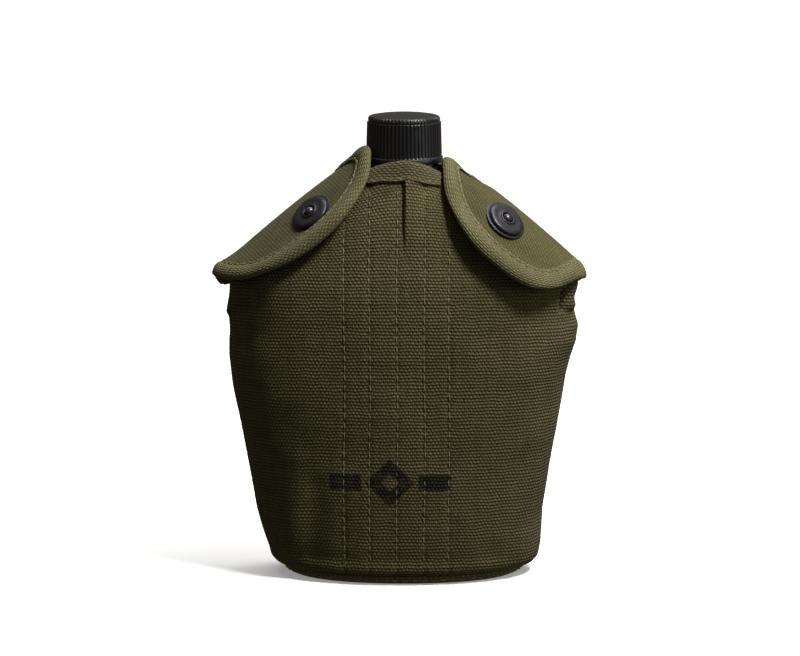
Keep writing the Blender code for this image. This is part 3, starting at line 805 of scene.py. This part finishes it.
FOLDS = (
    # x and z of each end, half width, height: soft folds of the front cloth.
    (79.5, 147, 77.5, 136, 1.3, -3.0),
    (83.5, 148, 82, 137, 2.2, 2.0),
    (-82.5, 150, -86, 133, 2.2, 1.8),
    (-77, 152, -76, 141, 5.5, -2.0),
    (-86, 128, -72, 150, 5.0, 1.0),
    (-80, 118, -74, 152, 3.5, -1.1),
    (88, 126, 76, 146, 5.0, 1.2),
    (84, 140, 70, 150, 3.0, -1.2),
    (-58, 16, -52, 62, 7.0, 1.2),
    (-46, 10, -44, 50, 6.0, -1.0),
    (60, 14, 64, 70, 7.0, 0.9),
    (46, 60, 58, 112, 9.0, 0.6),
    (-66, 70, -70, 112, 8.0, 0.7),
    (-30, 104, -56, 92, 8.0, 0.5),
    (30, 118, 60, 104, 7.0, 0.5),
    (-12, 60, 20, 52, 9.0, 0.4),
    (34, 10, 30, 34, 5.0, 0.7),
    (-30, 8, -26, 26, 5.0, -0.6),
)


def fold_relief(x, z):
    relief = np.zeros_like(x)
    for x0, z0, x1, z1, width, height in FOLDS:
        run = (x1 - x0) ** 2 + (z1 - z0) ** 2
        share = np.clip(((x - x0) * (x1 - x0) + (z - z0) * (z1 - z0)) / run, 0, 1)
        away = np.hypot(x - lerp(x0, x1, share), z - lerp(z0, z1, share))
        relief += height * np.exp(-((away / width) ** 2))
    return relief


def waves(x, z, seed):
    """Slow uneven swelling of the cloth, from a few fixed sine waves."""
    rng = np.random.default_rng(seed)
    total = np.zeros_like(x)
    for _ in range(7):
        turn, length, phase = rng.uniform(0, np.pi), rng.uniform(26, 70), rng.uniform(0, 6.3)
        ahead = x * math.cos(turn) + z * math.sin(turn)
        total += np.sin(math.tau * ahead / length + phase) / 7
    return total


# The printed mark. Cloth that doesn't carry it holds NO_INK.
NO_INK = 50.0
MARK_MIDDLE = (-7.0, 53.0)
MARK_BAR = (8.0, 4.2)
MARK_BAR_AWAY = 22.0
MARK_DIAMOND = (12.0, 12.5)


def mark_distance(x, z):
    """How far outside the printed mark a point is: a bar, a diamond and a bar."""
    across, up = np.abs(x - MARK_MIDDLE[0]), np.abs(z - MARK_MIDDLE[1])
    bars = np.maximum(np.abs(across - MARK_BAR_AWAY) - MARK_BAR[0], up - MARK_BAR[1])
    lean = across / MARK_DIAMOND[0] + up / MARK_DIAMOND[1]
    thick = min(MARK_DIAMOND) / math.sqrt(2)
    return np.minimum(bars, np.maximum(lean - 1, 0.36 - lean) * thick)


def front_height(share, turn):
    top = FRONT_TOP - FRONT_TOP_DROP * np.cos(turn) ** 2
    return lerp(PANEL_BOTTOM, top, share)


def seam_fade(turns, over):
    """0 at both side seams and 1 a little way from them."""
    near, far = (smoothstep(SEAM_TURN, SEAM_TURN + over, way) for way in (turns, math.pi - turns))
    return near * far


def cover_panel(side, base, normal, relief, hem, ink):
    """The front or the back cloth."""
    outer = base + normal * (relief + hem)[..., None]
    inner = base + normal * (np.minimum(relief, 0) - CANVAS)[..., None]
    piece = panel(f"{side}_canvas", outer, inner, CANVAS_CLOTH, base, ink)
    join(piece, "cover", "canvas", f"{side}_panel")


def make_front_canvas():
    columns, rows = 241, 191
    shares = np.linspace(0, 1, rows)
    turns = even_turns(front_height, shares, math.pi - SEAM_TURN, SEAM_TURN, columns)
    z = front_height(shares[:, None], turns)
    base = slumped(cover_point(z, turns))
    normal = cover_normal(z, turns)
    x = base[..., 0]
    relief = fold_relief(x, z) + 0.55 * waves(x, z, 3)
    relief = relief * seam_fade(turns, 0.12) * smoothstep(4, 14, z) * (1 - 0.8 * smoothstep(185, 198, z))
    relief = relief + column_dent(x, z) + pleat_step(x, z)
    hem = 1.0 * smoothstep(13.5, 8.5, z) - 0.4 * smoothstep(6.5, 5.6, z)
    cover_panel("front", base, normal, relief, hem, mark_distance(x, z))
    runs = []
    for column in STITCH_COLUMNS:
        heights = np.linspace(7.5, 197.5, 240)
        sway = 0.35 * np.sin(heights / 17 + column)
        way = turn_at(column + sway, heights)
        threads = off_cover(heights, way, -0.12)
        runs.append(stitch_loops(threads, cover_normal(heights, way), 0.27))
    sew("front_stitching", runs, "canvas")


def make_back_canvas():
    columns, rows = 201, 161
    shares = np.linspace(0, 1, rows)

    def height_of(share, turn):
        return lerp(PANEL_BOTTOM, BACK_TOP, share) + 0 * turn

    turns = even_turns(height_of, shares, -SEAM_TURN, SEAM_TURN - math.pi, columns)
    z = height_of(shares[:, None], turns)
    base = slumped(cover_point(z, turns))
    normal = cover_normal(z, turns)
    x = base[..., 0]
    clear_of_strap = 1 - bump_of(x, 0, 24) * smoothstep(88, 96, z)
    relief = 0.7 * waves(x, z, 8) * seam_fade(-turns, 0.15) * smoothstep(4, 16, z)
    relief = relief * smoothstep(200, 185, z) * clear_of_strap
    hem = 0.5 * smoothstep(13.5, 11.5, z) - 0.9 * smoothstep(7.6, 5.4, z)
    hem = hem + 0.6 * smoothstep(196.2, 197.4, z) * (np.abs(x) < 60)
    cover_panel("back", base, normal, relief, hem, np.full(z.shape, NO_INK))
    line_turns = np.linspace(-SEAM_TURN, SEAM_TURN - math.pi, 400)
    runs = []
    for height, off in ((12.4, 0.4), (198.6, 0.5)):
        line = slumped(cover_point(height, line_turns))
        normals = cover_normal(height, line_turns)
        runs.append(stitch_loops(line + normals * off, normals, 0.25))
    sew("back_stitching", runs, "canvas")


def make_bottom():
    """The base cloth, and the tape that joins it to the front and back."""
    turns = np.linspace(0, math.tau, 241)[:-1]
    profile = (
        (0.5, -2.4), (0.2, -1.6), (0.1, -0.6), (0.5, 0.0), (1.6, 0.4), (2.8, 0.4),
        (3.8, -0.1), (4.6, -0.9), (4.8, -1.4), (4.6, -2.0), (3.6, -2.5), (1.8, -2.6),
    )
    loops = np.stack([off_cover(height, -turns, off) for height, off in profile], axis=1)
    steps = np.linalg.norm(np.roll(loops, -1, axis=0) - loops, axis=-1)
    u = np.cumsum(steps, axis=0)
    v = np.broadcast_to(np.arange(len(profile)) * 1.2, u.shape)
    band = tube(
        "bottom_tape", loops, TAPE_CLOTH, cloth_of(u, v).reshape(-1, 3), closed=True
    )
    join(band, "cover", "tape", "bottom_binding")
    line = off_cover(2.6, -turns, 0.42)
    sew("bottom_stitching", [stitch_loops(line, cover_normal(2.6, -turns), 0.25)], "tape")

    rim = cover_point(0.0, -turns)
    inset = 1 - 3.0 / np.linalg.norm(rim[:, :2], axis=1)
    edge = rim * np.stack((inset, inset, np.zeros_like(inset)), axis=-1)
    hole = DRAIN_MIDDLE + unit(edge - DRAIN_MIDDLE) * DRAIN_HOLE
    low = np.stack([lerp(hole, edge, share) for share in np.linspace(1, 0, 40)])
    from_hole = np.hypot(low[..., 0], low[..., 1] - DRAIN_MIDDLE[1])
    wave = 0.12 * np.sin(low[..., 0] / 9) * np.sin(low[..., 1] / 7)
    low[..., 2] = 0.35 + 0.25 * bump_of(from_hole, 0, 9) + wave * smoothstep(4, 14, from_hole)
    high = low + np.array((0, 0, CANVAS))
    cloth = cloth_of(low[..., 0], low[..., 1])
    plate = slab(
        "bottom_canvas", low, high, CANVAS_CLOTH, cloth, np.full(low.shape[:2], NO_INK), wrap=True
    )
    join(plate, "cover", "canvas", "bottom_panel")


def make_front_tape():
    """The binding folded over the front's top edge, in front of the neck."""
    half = 17.4
    x = np.linspace(-half, half, 81)
    share = np.abs(x) / half
    right = np.clip(x, 0, None) / half
    low = 200.4 - 1.9 * share**1.3 - 1.5 * right**2 + 0.25 * np.sin(x / 2.3)
    high = 210.5 - 5.6 * share**1.6 - 1.2 * right**2
    profile = (
        (0.0, 1.15), (0.03, 1.5), (0.1, 1.35), (0.2, 1.3), (0.4, 1.5), (0.6, 1.6), (0.8, 1.5),
        (0.92, 1.2), (0.98, 0.6), (1.0, -0.3), (0.98, -1.2), (0.9, -1.8), (0.6, -2.0),
        (0.25, -2.0),
    )
    outer, inner = [], []
    for up, off in profile:
        z = lerp(low, high, up)
        turn = turn_at(x, z)
        outer.append(off_cover(z, turn, off))
        core = cover_point(lerp(low, high, min(up, 0.9)), turn) - cover_normal(z, turn) * 0.35
        inner.append(outer[-1] + unit(core - outer[-1]) * 0.75)
    outer, inner = np.stack(outer), np.stack(inner)
    # The front's top binding takes the darker copy of the tape as painted shade.
    band = panel("front_tape", outer, inner, PAINTED_SHADE_TAPE_CLOTH, outer)
    join(band, "cover", "tape", "front_top_binding")
    z = lerp(low, high, 0.13)
    turn = turn_at(x, z)
    run = stitch_loops(off_cover(z, turn, 1.35), cover_normal(z, turn), 0.24)
    sew("front_tape_stitching", [run], "tape")


# --- the flaps


def behind_height(arc):
    """The flap cloth comes down onto the back panel behind the ridge."""
    return lerp(0.8, FLAP_TOP, smoothstep(-FLAP_BEHIND, 1.0, arc))


def blend_over_ridge(piece):
    """Moves the piece's placement into its mesh; the piece is attached to no body."""
    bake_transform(piece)


def make_flap(name):
    shoulder = Shoulder(name)
    rows, columns = 75, 111
    inset = 1.6
    arcs = np.linspace(-FLAP_BEHIND, (shoulder.reach - inset) * 0.992, rows)
    lean = np.arcsin(np.clip(arcs / (shoulder.reach - inset), 0, 1))
    neck, _ = shoulder.edge(lean, inset)
    tip, _ = shoulder.edge(np.pi - lean, inset)
    share = np.linspace(0, 1, columns)
    along = lerp(neck[:, None], tip[:, None], share[None, :])
    arc = np.broadcast_to(arcs[:, None], along.shape)
    height = behind_height(arc)
    slack = 0.35 * waves(along, arc * 1.4, 5 + shoulder.side)
    slack = slack * smoothstep(-4, 6, arc)
    outer = shoulder.off(along, arc, height + slack)
    inner = shoulder.off(along, arc, height + slack - CANVAS)
    ahead, aside = math.cos(RIDGE_SLOPE), math.sin(RIDGE_SLOPE)
    cloth = cloth_of(along * ahead + arc * aside, arc * ahead - along * aside)
    if shoulder.side < 0:
        outer, inner, cloth = outer[:, ::-1], inner[:, ::-1], cloth[:, ::-1]
    piece = slab(f"{name}_flap_canvas", outer[::-1], inner[::-1], FLAP_CLOTH, cloth[::-1])
    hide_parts(f"{name}_flap")
    blend_over_ridge(piece)


def tape_share(arc):
    """The tape thins to the flap's own height as it turns over the ridge."""
    return 0.12 + 0.88 * smoothstep(-1.0, 8.0, arc)


TAPE_PROFILE = (
    # How far inside the flap's edge, and how high above the shoulder.
    (9.4, 4.75), (9.0, 5.15), (8.3, 4.95), (7.7, 4.85), (7.0, 5.3), (5.6, 5.75), (4.0, 5.9),
    (2.6, 5.75), (1.4, 5.3), (0.5, 4.6), (0.05, 3.7), (0.05, 2.9), (0.5, 2.1), (1.5, 1.5),
    (3.0, 1.2), (5.0, 1.15), (7.0, 1.25), (8.6, 1.5),
)


def make_flap_tape(name):
    shoulder = Shoulder(name)
    behind = FLAP_BEHIND / shoulder.reach
    angle = np.concatenate((
        np.linspace(-behind, 0, 12)[:-1],
        np.linspace(0, np.pi, 201),
        np.linspace(np.pi, np.pi + behind, 12)[1:],
    ))
    outer, inner = [], []
    rows = len(TAPE_PROFILE)
    for k, (inset, height) in enumerate(TAPE_PROFILE):
        before = TAPE_PROFILE[max(k - 1, 0)]
        after = TAPE_PROFILE[min(k + 1, rows - 1)]
        step = np.array((after[0] - before[0], after[1] - before[1]))
        step = step / np.linalg.norm(step)
        inward = np.array((-step[1], step[0]))
        if inward @ (np.array((5.0, 3.4)) - (inset, height)) < 0:
            inward = -inward
        along, arc = shoulder.edge(angle, inset)
        drop = FLAP_TOP - behind_height(arc)
        above = FLAP_TOP + (height - FLAP_TOP) * tape_share(arc) if height > FLAP_TOP else height
        outer.append(shoulder.off(along, arc, np.maximum(above - drop, 0.25)))
        along, arc = shoulder.edge(angle, inset + inward[0] * 0.7)
        deep = height + inward[1] * 0.7
        inner.append(shoulder.off(along, arc, np.maximum(deep - drop, 0.25)))
    outer, inner = np.stack(outer), np.stack(inner)
    cloth = grid_cloth(outer)
    if shoulder.side > 0:
        outer, inner, cloth = (part[::-1] for part in (outer, inner, cloth))
    piece = slab(f"{name}_flap_tape", outer, inner, TAPE_CLOTH, cloth)
    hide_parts(f"{name}_flap_binding")
    blend_over_ridge(piece)
    along, arc = shoulder.edge(angle, 8.0)
    drop = FLAP_TOP - behind_height(arc)
    path = shoulder.off(along, arc, FLAP_TOP + 0.95 * tape_share(arc) - drop)
    normals = shoulder.normal(along, arc / ARC_RADIUS)
    sewn = stitches(f"{name}_flap_stitching", [stitch_loops(path, normals, 0.27)])
    blend_over_ridge(sewn)


# --- snaps


def make_snap(name):
    place = Shoulder(name).snap_frame()
    body = f"{name}_flap"
    socket = (
        (2.9, 6.7), (3.1, 7.0), (3.5, 7.1), (3.9, 6.95), (4.05, 6.65), (4.15, 6.45), (4.5, 6.35),
        (6.5, 6.5), (8.1, 6.5), (8.9, 6.35), (9.45, 5.95), (9.7, 5.3), (9.65, 4.7), (9.3, 4.5),
        (8.0, 4.6), (4.6, 4.7), (3.4, 4.8), (2.95, 5.2),
    )
    washer = (
        (3.2, 4.5), (9.5, 4.6), (10.7, 4.65), (11.05, 4.5), (11.1, 4.2), (10.9, 4.05), (3.2, 4.05),
    )
    clinch = ((3.7, 2.75), (5.2, 2.7), (5.6, 2.45), (5.6, 2.2), (5.2, 2.0), (3.7, 2.0))
    stud = (
        (0.0, 8.2), (0.9, 8.1), (1.7, 7.65), (2.25, 6.9), (2.35, 6.2), (2.1, 5.3),
        (1.65, 4.4), (1.5, 3.4), (1.45, 2.0), (1.9, 1.8), (3.5, 1.7), (4.2, 1.4), (4.2, 0.35),
        (1.4, 0.3), (1.3, -2.5), (0.0, -2.5),
    )
    plate = ((1.7, -1.5), (4.0, -1.5), (4.4, -1.75), (4.4, -2.2), (4.0, -2.5), (1.7, -2.5))
    pieces = (
        ("socket", socket, body, BLACK_METAL, [f"{name}_socket"]),
        ("socket_washer", washer, body, BLACK_METAL, []),
        ("clinch_ring", clinch, body, BLACK_METAL, [f"{name}_clinch_plate"]),
        ("snap_stud", stud, "cover", BALL_METAL, [f"{name}_stud"]),
        ("stud_ring", plate, "cover", BLACK_METAL, [f"{name}_stud_plate"]),
    )
    for label, profile, rider, finish, nodes in pieces:
        piece = turned(f"{name}_{label}", profile, finish, 72, place=place)
        join(piece, rider, "black_metal", *nodes)


# --- cap and neck


CAP_TOP = 231.3
CAP_INSIDE_TOP = 226.0
CAP_BOTTOM = 207.0
CAP_RIBS = 60
RIB_DEPTH = 0.55


def cap_ribs(radius, height, angle):
    """Upright ribs on the wall, and short ones round the crown's edge."""
    wave = np.cos(CAP_RIBS * angle)
    rib = np.clip(0.5 + 0.9 * wave, 0, 1)
    depth = CAP_TOP - height
    long_ribs = smoothstep(210.4, 211.0, height) * smoothstep(4.1, 4.6, depth)
    short_ribs = smoothstep(3.6, 3.2, depth) * smoothstep(1.2, 1.9, depth)
    on_wall = (radius > 16.6) * 1.0
    return radius - RIB_DEPTH * (1 - rib) * (long_ribs + 0.8 * short_ribs) * on_wall


def make_cap():
    crown = (
        # Radius, and how far below the cap's top.
        (0.0, 0.0), (3.0, 0.05), (6.5, 0.2), (10.0, 0.5), (13.0, 0.85), (15.2, 1.15),
        (16.4, 1.35), (17.2, 1.6), (17.6, 2.0), (17.85, 2.5), (17.95, 3.0), (17.97, 3.3),
        (17.5, 3.55), (17.45, 3.9), (18.25, 4.25),
    )
    profile = [(radius, CAP_TOP - below) for radius, below in crown]
    profile += [(lerp(18.4, 18.8, k / 8), lerp(CAP_TOP - 4.5, 210.9, k / 8)) for k in range(9)]
    profile += [
        (18.5, 210.6), (18.6, 210.2), (19.1, 209.9), (19.3, 209.5), (19.3, 207.7),
        (19.1, 207.2), (18.6, CAP_BOTTOM), (16.0, CAP_BOTTOM), (15.7, 207.3), (15.7, 225.6),
        (15.3, CAP_INSIDE_TOP), (0.0, CAP_INSIDE_TOP),
    ]
    cap = turned("screw_cap", profile, BLACK_PLASTIC, CAP_RIBS * 12, cap_ribs, sharp=28)
    join(cap, "cap", "cap_plastic", "cap")
    ridge = thread_ridge("cap_thread", 15.8, 14.7, 212.0, 1.5, BLACK_PLASTIC)
    join(ridge, "cap", "cap_plastic")


def make_neck():
    profile = (
        (12.8, 222.6), (13.1, 223.0), (13.9, 223.0), (14.2, 222.6), (14.2, 198.0), (14.5, 196.2),
        (15.2, 195.0), (17.0, 193.2), (17.6, 192.4), (17.6, 191.9), (12.8, 191.9),
    )
    join(turned("steel_neck", profile, STEEL), "cover", "steel", "bottle_neck")
    join(thread_ridge("neck_thread", 14.1, 15.1, 210.0, 2.0, STEEL), "cover", "steel")
    ring = (
        (11.6, 225.3), (12.0, 225.65), (14.8, 225.65), (15.2, 225.3), (15.2, 223.7),
        (14.8, 223.35), (12.0, 223.35), (11.6, 223.7),
    )
    join(turned("seal_ring", ring, RUBBER), "gasket", "seal_rubber", "cap_gasket")


# --- drain, strap, hook, linings


def make_drain():
    upright = (np.eye(3), DRAIN_MIDDLE)
    eyelet = (
        (2.4, 2.6), (2.7, 2.85), (3.0, 2.8), (3.05, 2.4), (3.0, 1.0), (3.3, 0.6), (4.6, 0.55),
        (5.0, 0.35), (4.9, 0.12), (4.4, 0.05), (3.0, 0.06), (2.5, 0.25), (2.4, 0.7),
    )
    washer = ((3.35, 2.3), (5.4, 2.3), (5.6, 2.2), (5.6, 1.95), (5.4, 1.85), (3.35, 1.85))
    for label, profile, node in (
        ("drain_grommet", eyelet, "drain_eyelet"), ("drain_ring", washer, "drain_washer"),
    ):
        join(turned(label, profile, BLACK_METAL, 64, place=upright), "cover", "black_metal", node)


STRAP_HALF = 16.0
STRAP = 1.6
STRAP_BOTTOM = 96.0
STRAP_TAIL = 128.0
BAR_HEIGHT = 164.0
BAR_OFF_STRAP = 3.1
WIRE_RADIUS = 1.5


def strap_face(z):
    """Y of the strap's inner side, clear of the back panel at the strap's edges."""
    half, _, back, hollow = section(np.asarray(float(z)))
    share = STRAP_HALF / half
    lobe = back * (1 - share**SQUARENESS) ** (1 / SQUARENESS)
    dip = hollow * math.cos(math.pi / 2 * share / HOLLOW_REACH) ** 2
    return float(lobe - dip + 0.7)


def smooth_path(points, count):
    """Catmull-Rom curve through the points, resampled to even steps."""
    points = np.array(points, float)
    ends = np.concatenate((2 * points[:1] - points[1:2], points, 2 * points[-1:] - points[-2:-1]))
    fine = []
    for k in range(len(points) - 1):
        a, b, c, d = ends[k : k + 4]
        t = np.linspace(0, 1, 16, endpoint=False)[:, None]
        fine.append(
            0.5 * (2 * b + (c - a) * t + (2 * a - 5 * b + 4 * c - d) * t**2
                   + (3 * b - a - 3 * c + d) * t**3)
        )
    fine = np.concatenate((*fine, points[-1:]))
    return along_path(fine, np.linspace(0, path_length(fine), count))


def bar_depth():
    return strap_face(BAR_HEIGHT) + STRAP / 2 + BAR_OFF_STRAP


def make_strap():
    bar_y = bar_depth()
    path = [(0, strap_face(z) + STRAP / 2, z) for z in (STRAP_BOTTOM, 108, 120, 132, 144, 154)]
    path.append((0, strap_face(BAR_HEIGHT) + STRAP / 2, BAR_HEIGHT))
    for degrees in (150, 120, 90, 60, 30, 0, -30):
        turn = math.radians(degrees)
        path.append((
            0, bar_y + BAR_OFF_STRAP * math.cos(turn), BAR_HEIGHT + BAR_OFF_STRAP * math.sin(turn)
        ))
    path += [(0, strap_face(z) + 1.5 * STRAP + 0.5, z) for z in (157, 150, 140, STRAP_TAIL)]
    line = smooth_path(path, 140)
    forward = unit(np.gradient(line, axis=0))
    out = np.cross(forward, np.array((1.0, 0, 0)))
    if out[0, 1] < 0:
        out = -out
    shares = np.linspace(-1, 1, 49)
    ribs = 0.09 * np.cos(shares * math.pi * 12)
    edges = 0.28 * np.clip((np.abs(shares) - 0.94) / 0.06, 0, 1)
    half_thick = STRAP / 2 - edges + ribs * (np.abs(shares) < 0.93)
    across = np.stack((-shares * STRAP_HALF, 0 * shares, 0 * shares), axis=-1)
    middle = line[:, None, :] + across[None, :, :]
    outer = middle + out[:, None, :] * half_thick[None, :, None]
    inner = middle - out[:, None, :] * half_thick[None, :, None]
    strap = slab("hook_strap", outer, inner, STRAP_CLOTH, grid_cloth(middle))
    join(strap, "cover", "webbing", "belt_strap")
    runs = []
    for x0, z0, x1, z1 in (
        (-13, 99, 13, 99), (13, 99, 13, 124), (13, 124, -13, 124), (-13, 124, -13, 99),
        (-13, 99, 13, 124), (13, 99, -13, 124), (-13, 131, 13, 131), (-13, 152, 13, 152),
    ):
        share = np.linspace(0, 1, 30)
        x, z = lerp(x0, x1, share), lerp(z0, z1, share)
        layers = 1.0 if z0 < 126 else 2.3
        y = np.array([strap_face(height) for height in z]) + layers * STRAP + 0.05
        box = np.stack((x, y, z), axis=-1)
        runs.append(stitch_loops(box, np.tile((0.0, 1.0, 0.0), (30, 1)), 0.28))
    sew("strap_stitching", runs, "webbing")


def make_hook():
    bar_y = bar_depth()
    leg_y = bar_y + 2.3
    prong_x, prong_y = 4.5, leg_y + 0.2
    # One side of the wire, out along the bar and on to the prong's tip.
    half_wire = [
        (9.0, bar_y, BAR_HEIGHT), (17.4, bar_y, BAR_HEIGHT), (19.3, bar_y + 0.2, BAR_HEIGHT - 0.8),
        (20.0, bar_y + 0.6, BAR_HEIGHT - 2.8), (18.6, bar_y + 1.6, BAR_HEIGHT - 7),
        (7.0, leg_y, BAR_HEIGHT - 20), (prong_x, prong_y, BAR_HEIGHT - 25),
        (prong_x, prong_y, BAR_HEIGHT - 36),
    ]
    bend = 3.7
    for degrees in (200, 230, 270, 310, 340, 360):
        turn = math.radians(degrees)
        half_wire.append((
            prong_x, prong_y + bend + bend * math.cos(turn),
            BAR_HEIGHT - 38 + bend * math.sin(turn),
        ))
    half_wire.append((prong_x, prong_y + 2 * bend, BAR_HEIGHT - 30))
    mirrored = [(-x, y, z) for x, y, z in reversed(half_wire)]
    line = smooth_path(mirrored + [(0, bar_y, BAR_HEIGHT)] + half_wire, 260)
    forward = unit(np.gradient(line, axis=0))
    side = np.array((0.0, 1.0, 0.0))
    rings = []
    for k, heading in enumerate(forward):
        side = unit(side - heading * (side @ heading))
        other = np.cross(heading, side)
        from_end = min(k, len(line) - 1 - k)
        radius = WIRE_RADIUS * (1 - max(0.0, 1 - from_end / 2.0) ** 2 * 0.65)
        rings.append(line[k] + circle(14, side, other) * radius)
    hook = tube("wire_hook", np.stack(rings), BLACK_METAL)
    join(hook, "belt_hook", "black_metal", "belt_hook")


def make_inner_cloth():
    """Felt linings, the stay strip behind the front, and the tapes inside the side seams."""
    felt_edge = math.radians(9)
    tape_reach = math.radians(7)
    spans = (
        ("front_felt", "front_lining", math.pi - felt_edge, felt_edge, 10, 192, -3.5, 1.8),
        ("back_felt", "back_lining", -felt_edge, felt_edge - math.pi, 10, 192, -3.5, 1.8),
        ("left_seam_tape", "left_side_binding", math.pi + tape_reach, math.pi - tape_reach, 16,
         142, -2.7, 0.7),
        ("right_seam_tape", "right_side_binding", tape_reach, -tape_reach, 16, 142, -2.7, 0.7),
    )
    # Names of the piece and its node, turns, heights, how far off the form, and thickness.
    for name, node, first, last, low, high, top, thick in spans:
        felt = "felt" in name
        turns = np.linspace(first, last, 91 if felt else 9)[None, :]
        z = np.linspace(low, high, 91)[:, None]
        outer, inner = off_cover(z, turns, top), off_cover(z, turns, top - thick)
        piece = panel(name, outer, inner, FELT_CLOTH if felt else TAPE_CLOTH, outer)
        join(piece, "cover", "felt" if felt else "tape", node)
    z = np.linspace(9, 194, 101)[:, None]
    x = np.linspace(-33, 33, 41)[None, :] * np.minimum(1, section(z)[0] / 60)
    turns = turn_at(x, z)
    outer, inner = off_cover(z, turns, -2.0), off_cover(z, turns, -2.7)
    strip = panel("stay_strip", outer, inner, STRAP_CLOTH, outer)
    join(strip, "cover", "webbing", "front_stay_strip")


# --- carried nodes and the stage


BOTTLE_SHELLS = ["bottle_lower_shell", "bottle_upper_shell"]


def finish_carried_nodes():
    for name in BOTTLE_SHELLS:
        mesh = frame["nodes"][name].data
        mesh.materials.clear()
        mesh.materials.append(STEEL)


def look(obj, place, aim):
    obj.location = place
    obj.rotation_euler = (Vector(aim) - Vector(place)).to_track_quat("-Z", "Y").to_euler()


def area_light(name, place, aim, size, power):
    data = bpy.data.lights.new(name, "AREA")
    data.shape = "RECTANGLE"
    data.size, data.size_y = size
    data.energy = power
    look(link(bpy.data.objects.new(name, data)), place, aim)


def make_stage():
    """Paper that curves up from floor to wall, a warm sky brighter to the right, and lamps."""
    half, rise, floor_end, bend = 3.0, 1.4, 1.2, 0.8
    sweep = [(-half, 0.0), (floor_end, 0.0)]
    for degrees in range(10, 91, 10):
        turn = math.radians(degrees)
        sweep.append((floor_end + bend * math.sin(turn), bend * (1 - math.cos(turn))))
    sweep.append((floor_end + bend, bend + rise))
    points = [(x, y, z) for y, z in sweep for x in (-half, half)]
    faces = [(2 * k, 2 * k + 1, 2 * k + 3, 2 * k + 2) for k in range(len(sweep) - 1)]
    mesh = bpy.data.meshes.new("paper_sweep")
    mesh.from_pydata(points, [], faces)
    mesh.shade_smooth()
    g = Graph("white_paper")
    g.set(base_color=(0.9, 0.9, 0.9, 1), roughness=0.9, emission_color=(1, 1, 1, 1))
    g.shader.inputs["Emission Strength"].default_value = 0.25
    mesh.materials.append(g.material)
    paper = link(bpy.data.objects.new("paper_sweep", mesh))
    paper.visible_diffuse = False
    paper.visible_glossy = False

    world = bpy.data.worlds.new("studio")
    world.use_nodes = True
    tree = world.node_tree
    sky = tree.nodes["Background"]
    sky.inputs["Color"].default_value = (1, 0.93, 0.77, 1)
    way = tree.nodes.new("ShaderNodeTexCoord")
    parts = tree.nodes.new("ShaderNodeSeparateXYZ")
    ramp = tree.nodes.new("ShaderNodeMapRange")
    for socket, number in zip(list(ramp.inputs)[1:5], (-1.0, 1.0, 0.09, 0.2)):
        socket.default_value = number
    tree.links.new(way.outputs["Generated"], parts.inputs[0])
    tree.links.new(parts.outputs[0], ramp.inputs[0])
    tree.links.new(ramp.outputs[0], sky.inputs["Strength"])
    bpy.context.scene.world = world
    bpy.context.scene.view_settings.view_transform = "Standard"
    middle = (0.0, 0.0, 0.11)
    area_light("top_softbox", (0.52, 0.1, 1.42), middle, (1.1, 0.9), 13)
    area_light("key_softbox", (0.46, -0.42, 1.0), (0.0, -0.03, 0.15), (0.2, 0.2), 13.5)
    area_light("backdrop_light", (0.0, 0.6, 1.8), (0, 1.6, 0.2), (2.0, 0.8), 26)
    area_light("right_fill", (1.1, -0.55, 0.45), middle, (0.5, 0.5), 2.0)


def make_camera():
    data = bpy.data.cameras.new("camera")
    data.lens = 171
    data.sensor_width = 36
    camera = link(bpy.data.objects.new("camera", data))
    look(camera, (-0.002, -1.872, 0.450), (-0.002, 0.0, 0.123))
    bpy.context.scene.camera = camera


def main():
    for obj in [obj for obj in bpy.data.objects if obj.name in ("Cube", "Light", "Camera")]:
        bpy.data.objects.remove(obj, do_unlink=True)
    make_camera()
    make_stage()
    finish_carried_nodes()
    make_front_canvas()
    make_back_canvas()
    make_bottom()
    make_front_tape()
    for name in SIDES:
        make_flap(name)
        make_flap_tape(name)
        make_snap(name)
    make_cap()
    make_neck()
    make_drain()
    make_strap()
    make_hook()
    make_inner_cloth()


main()
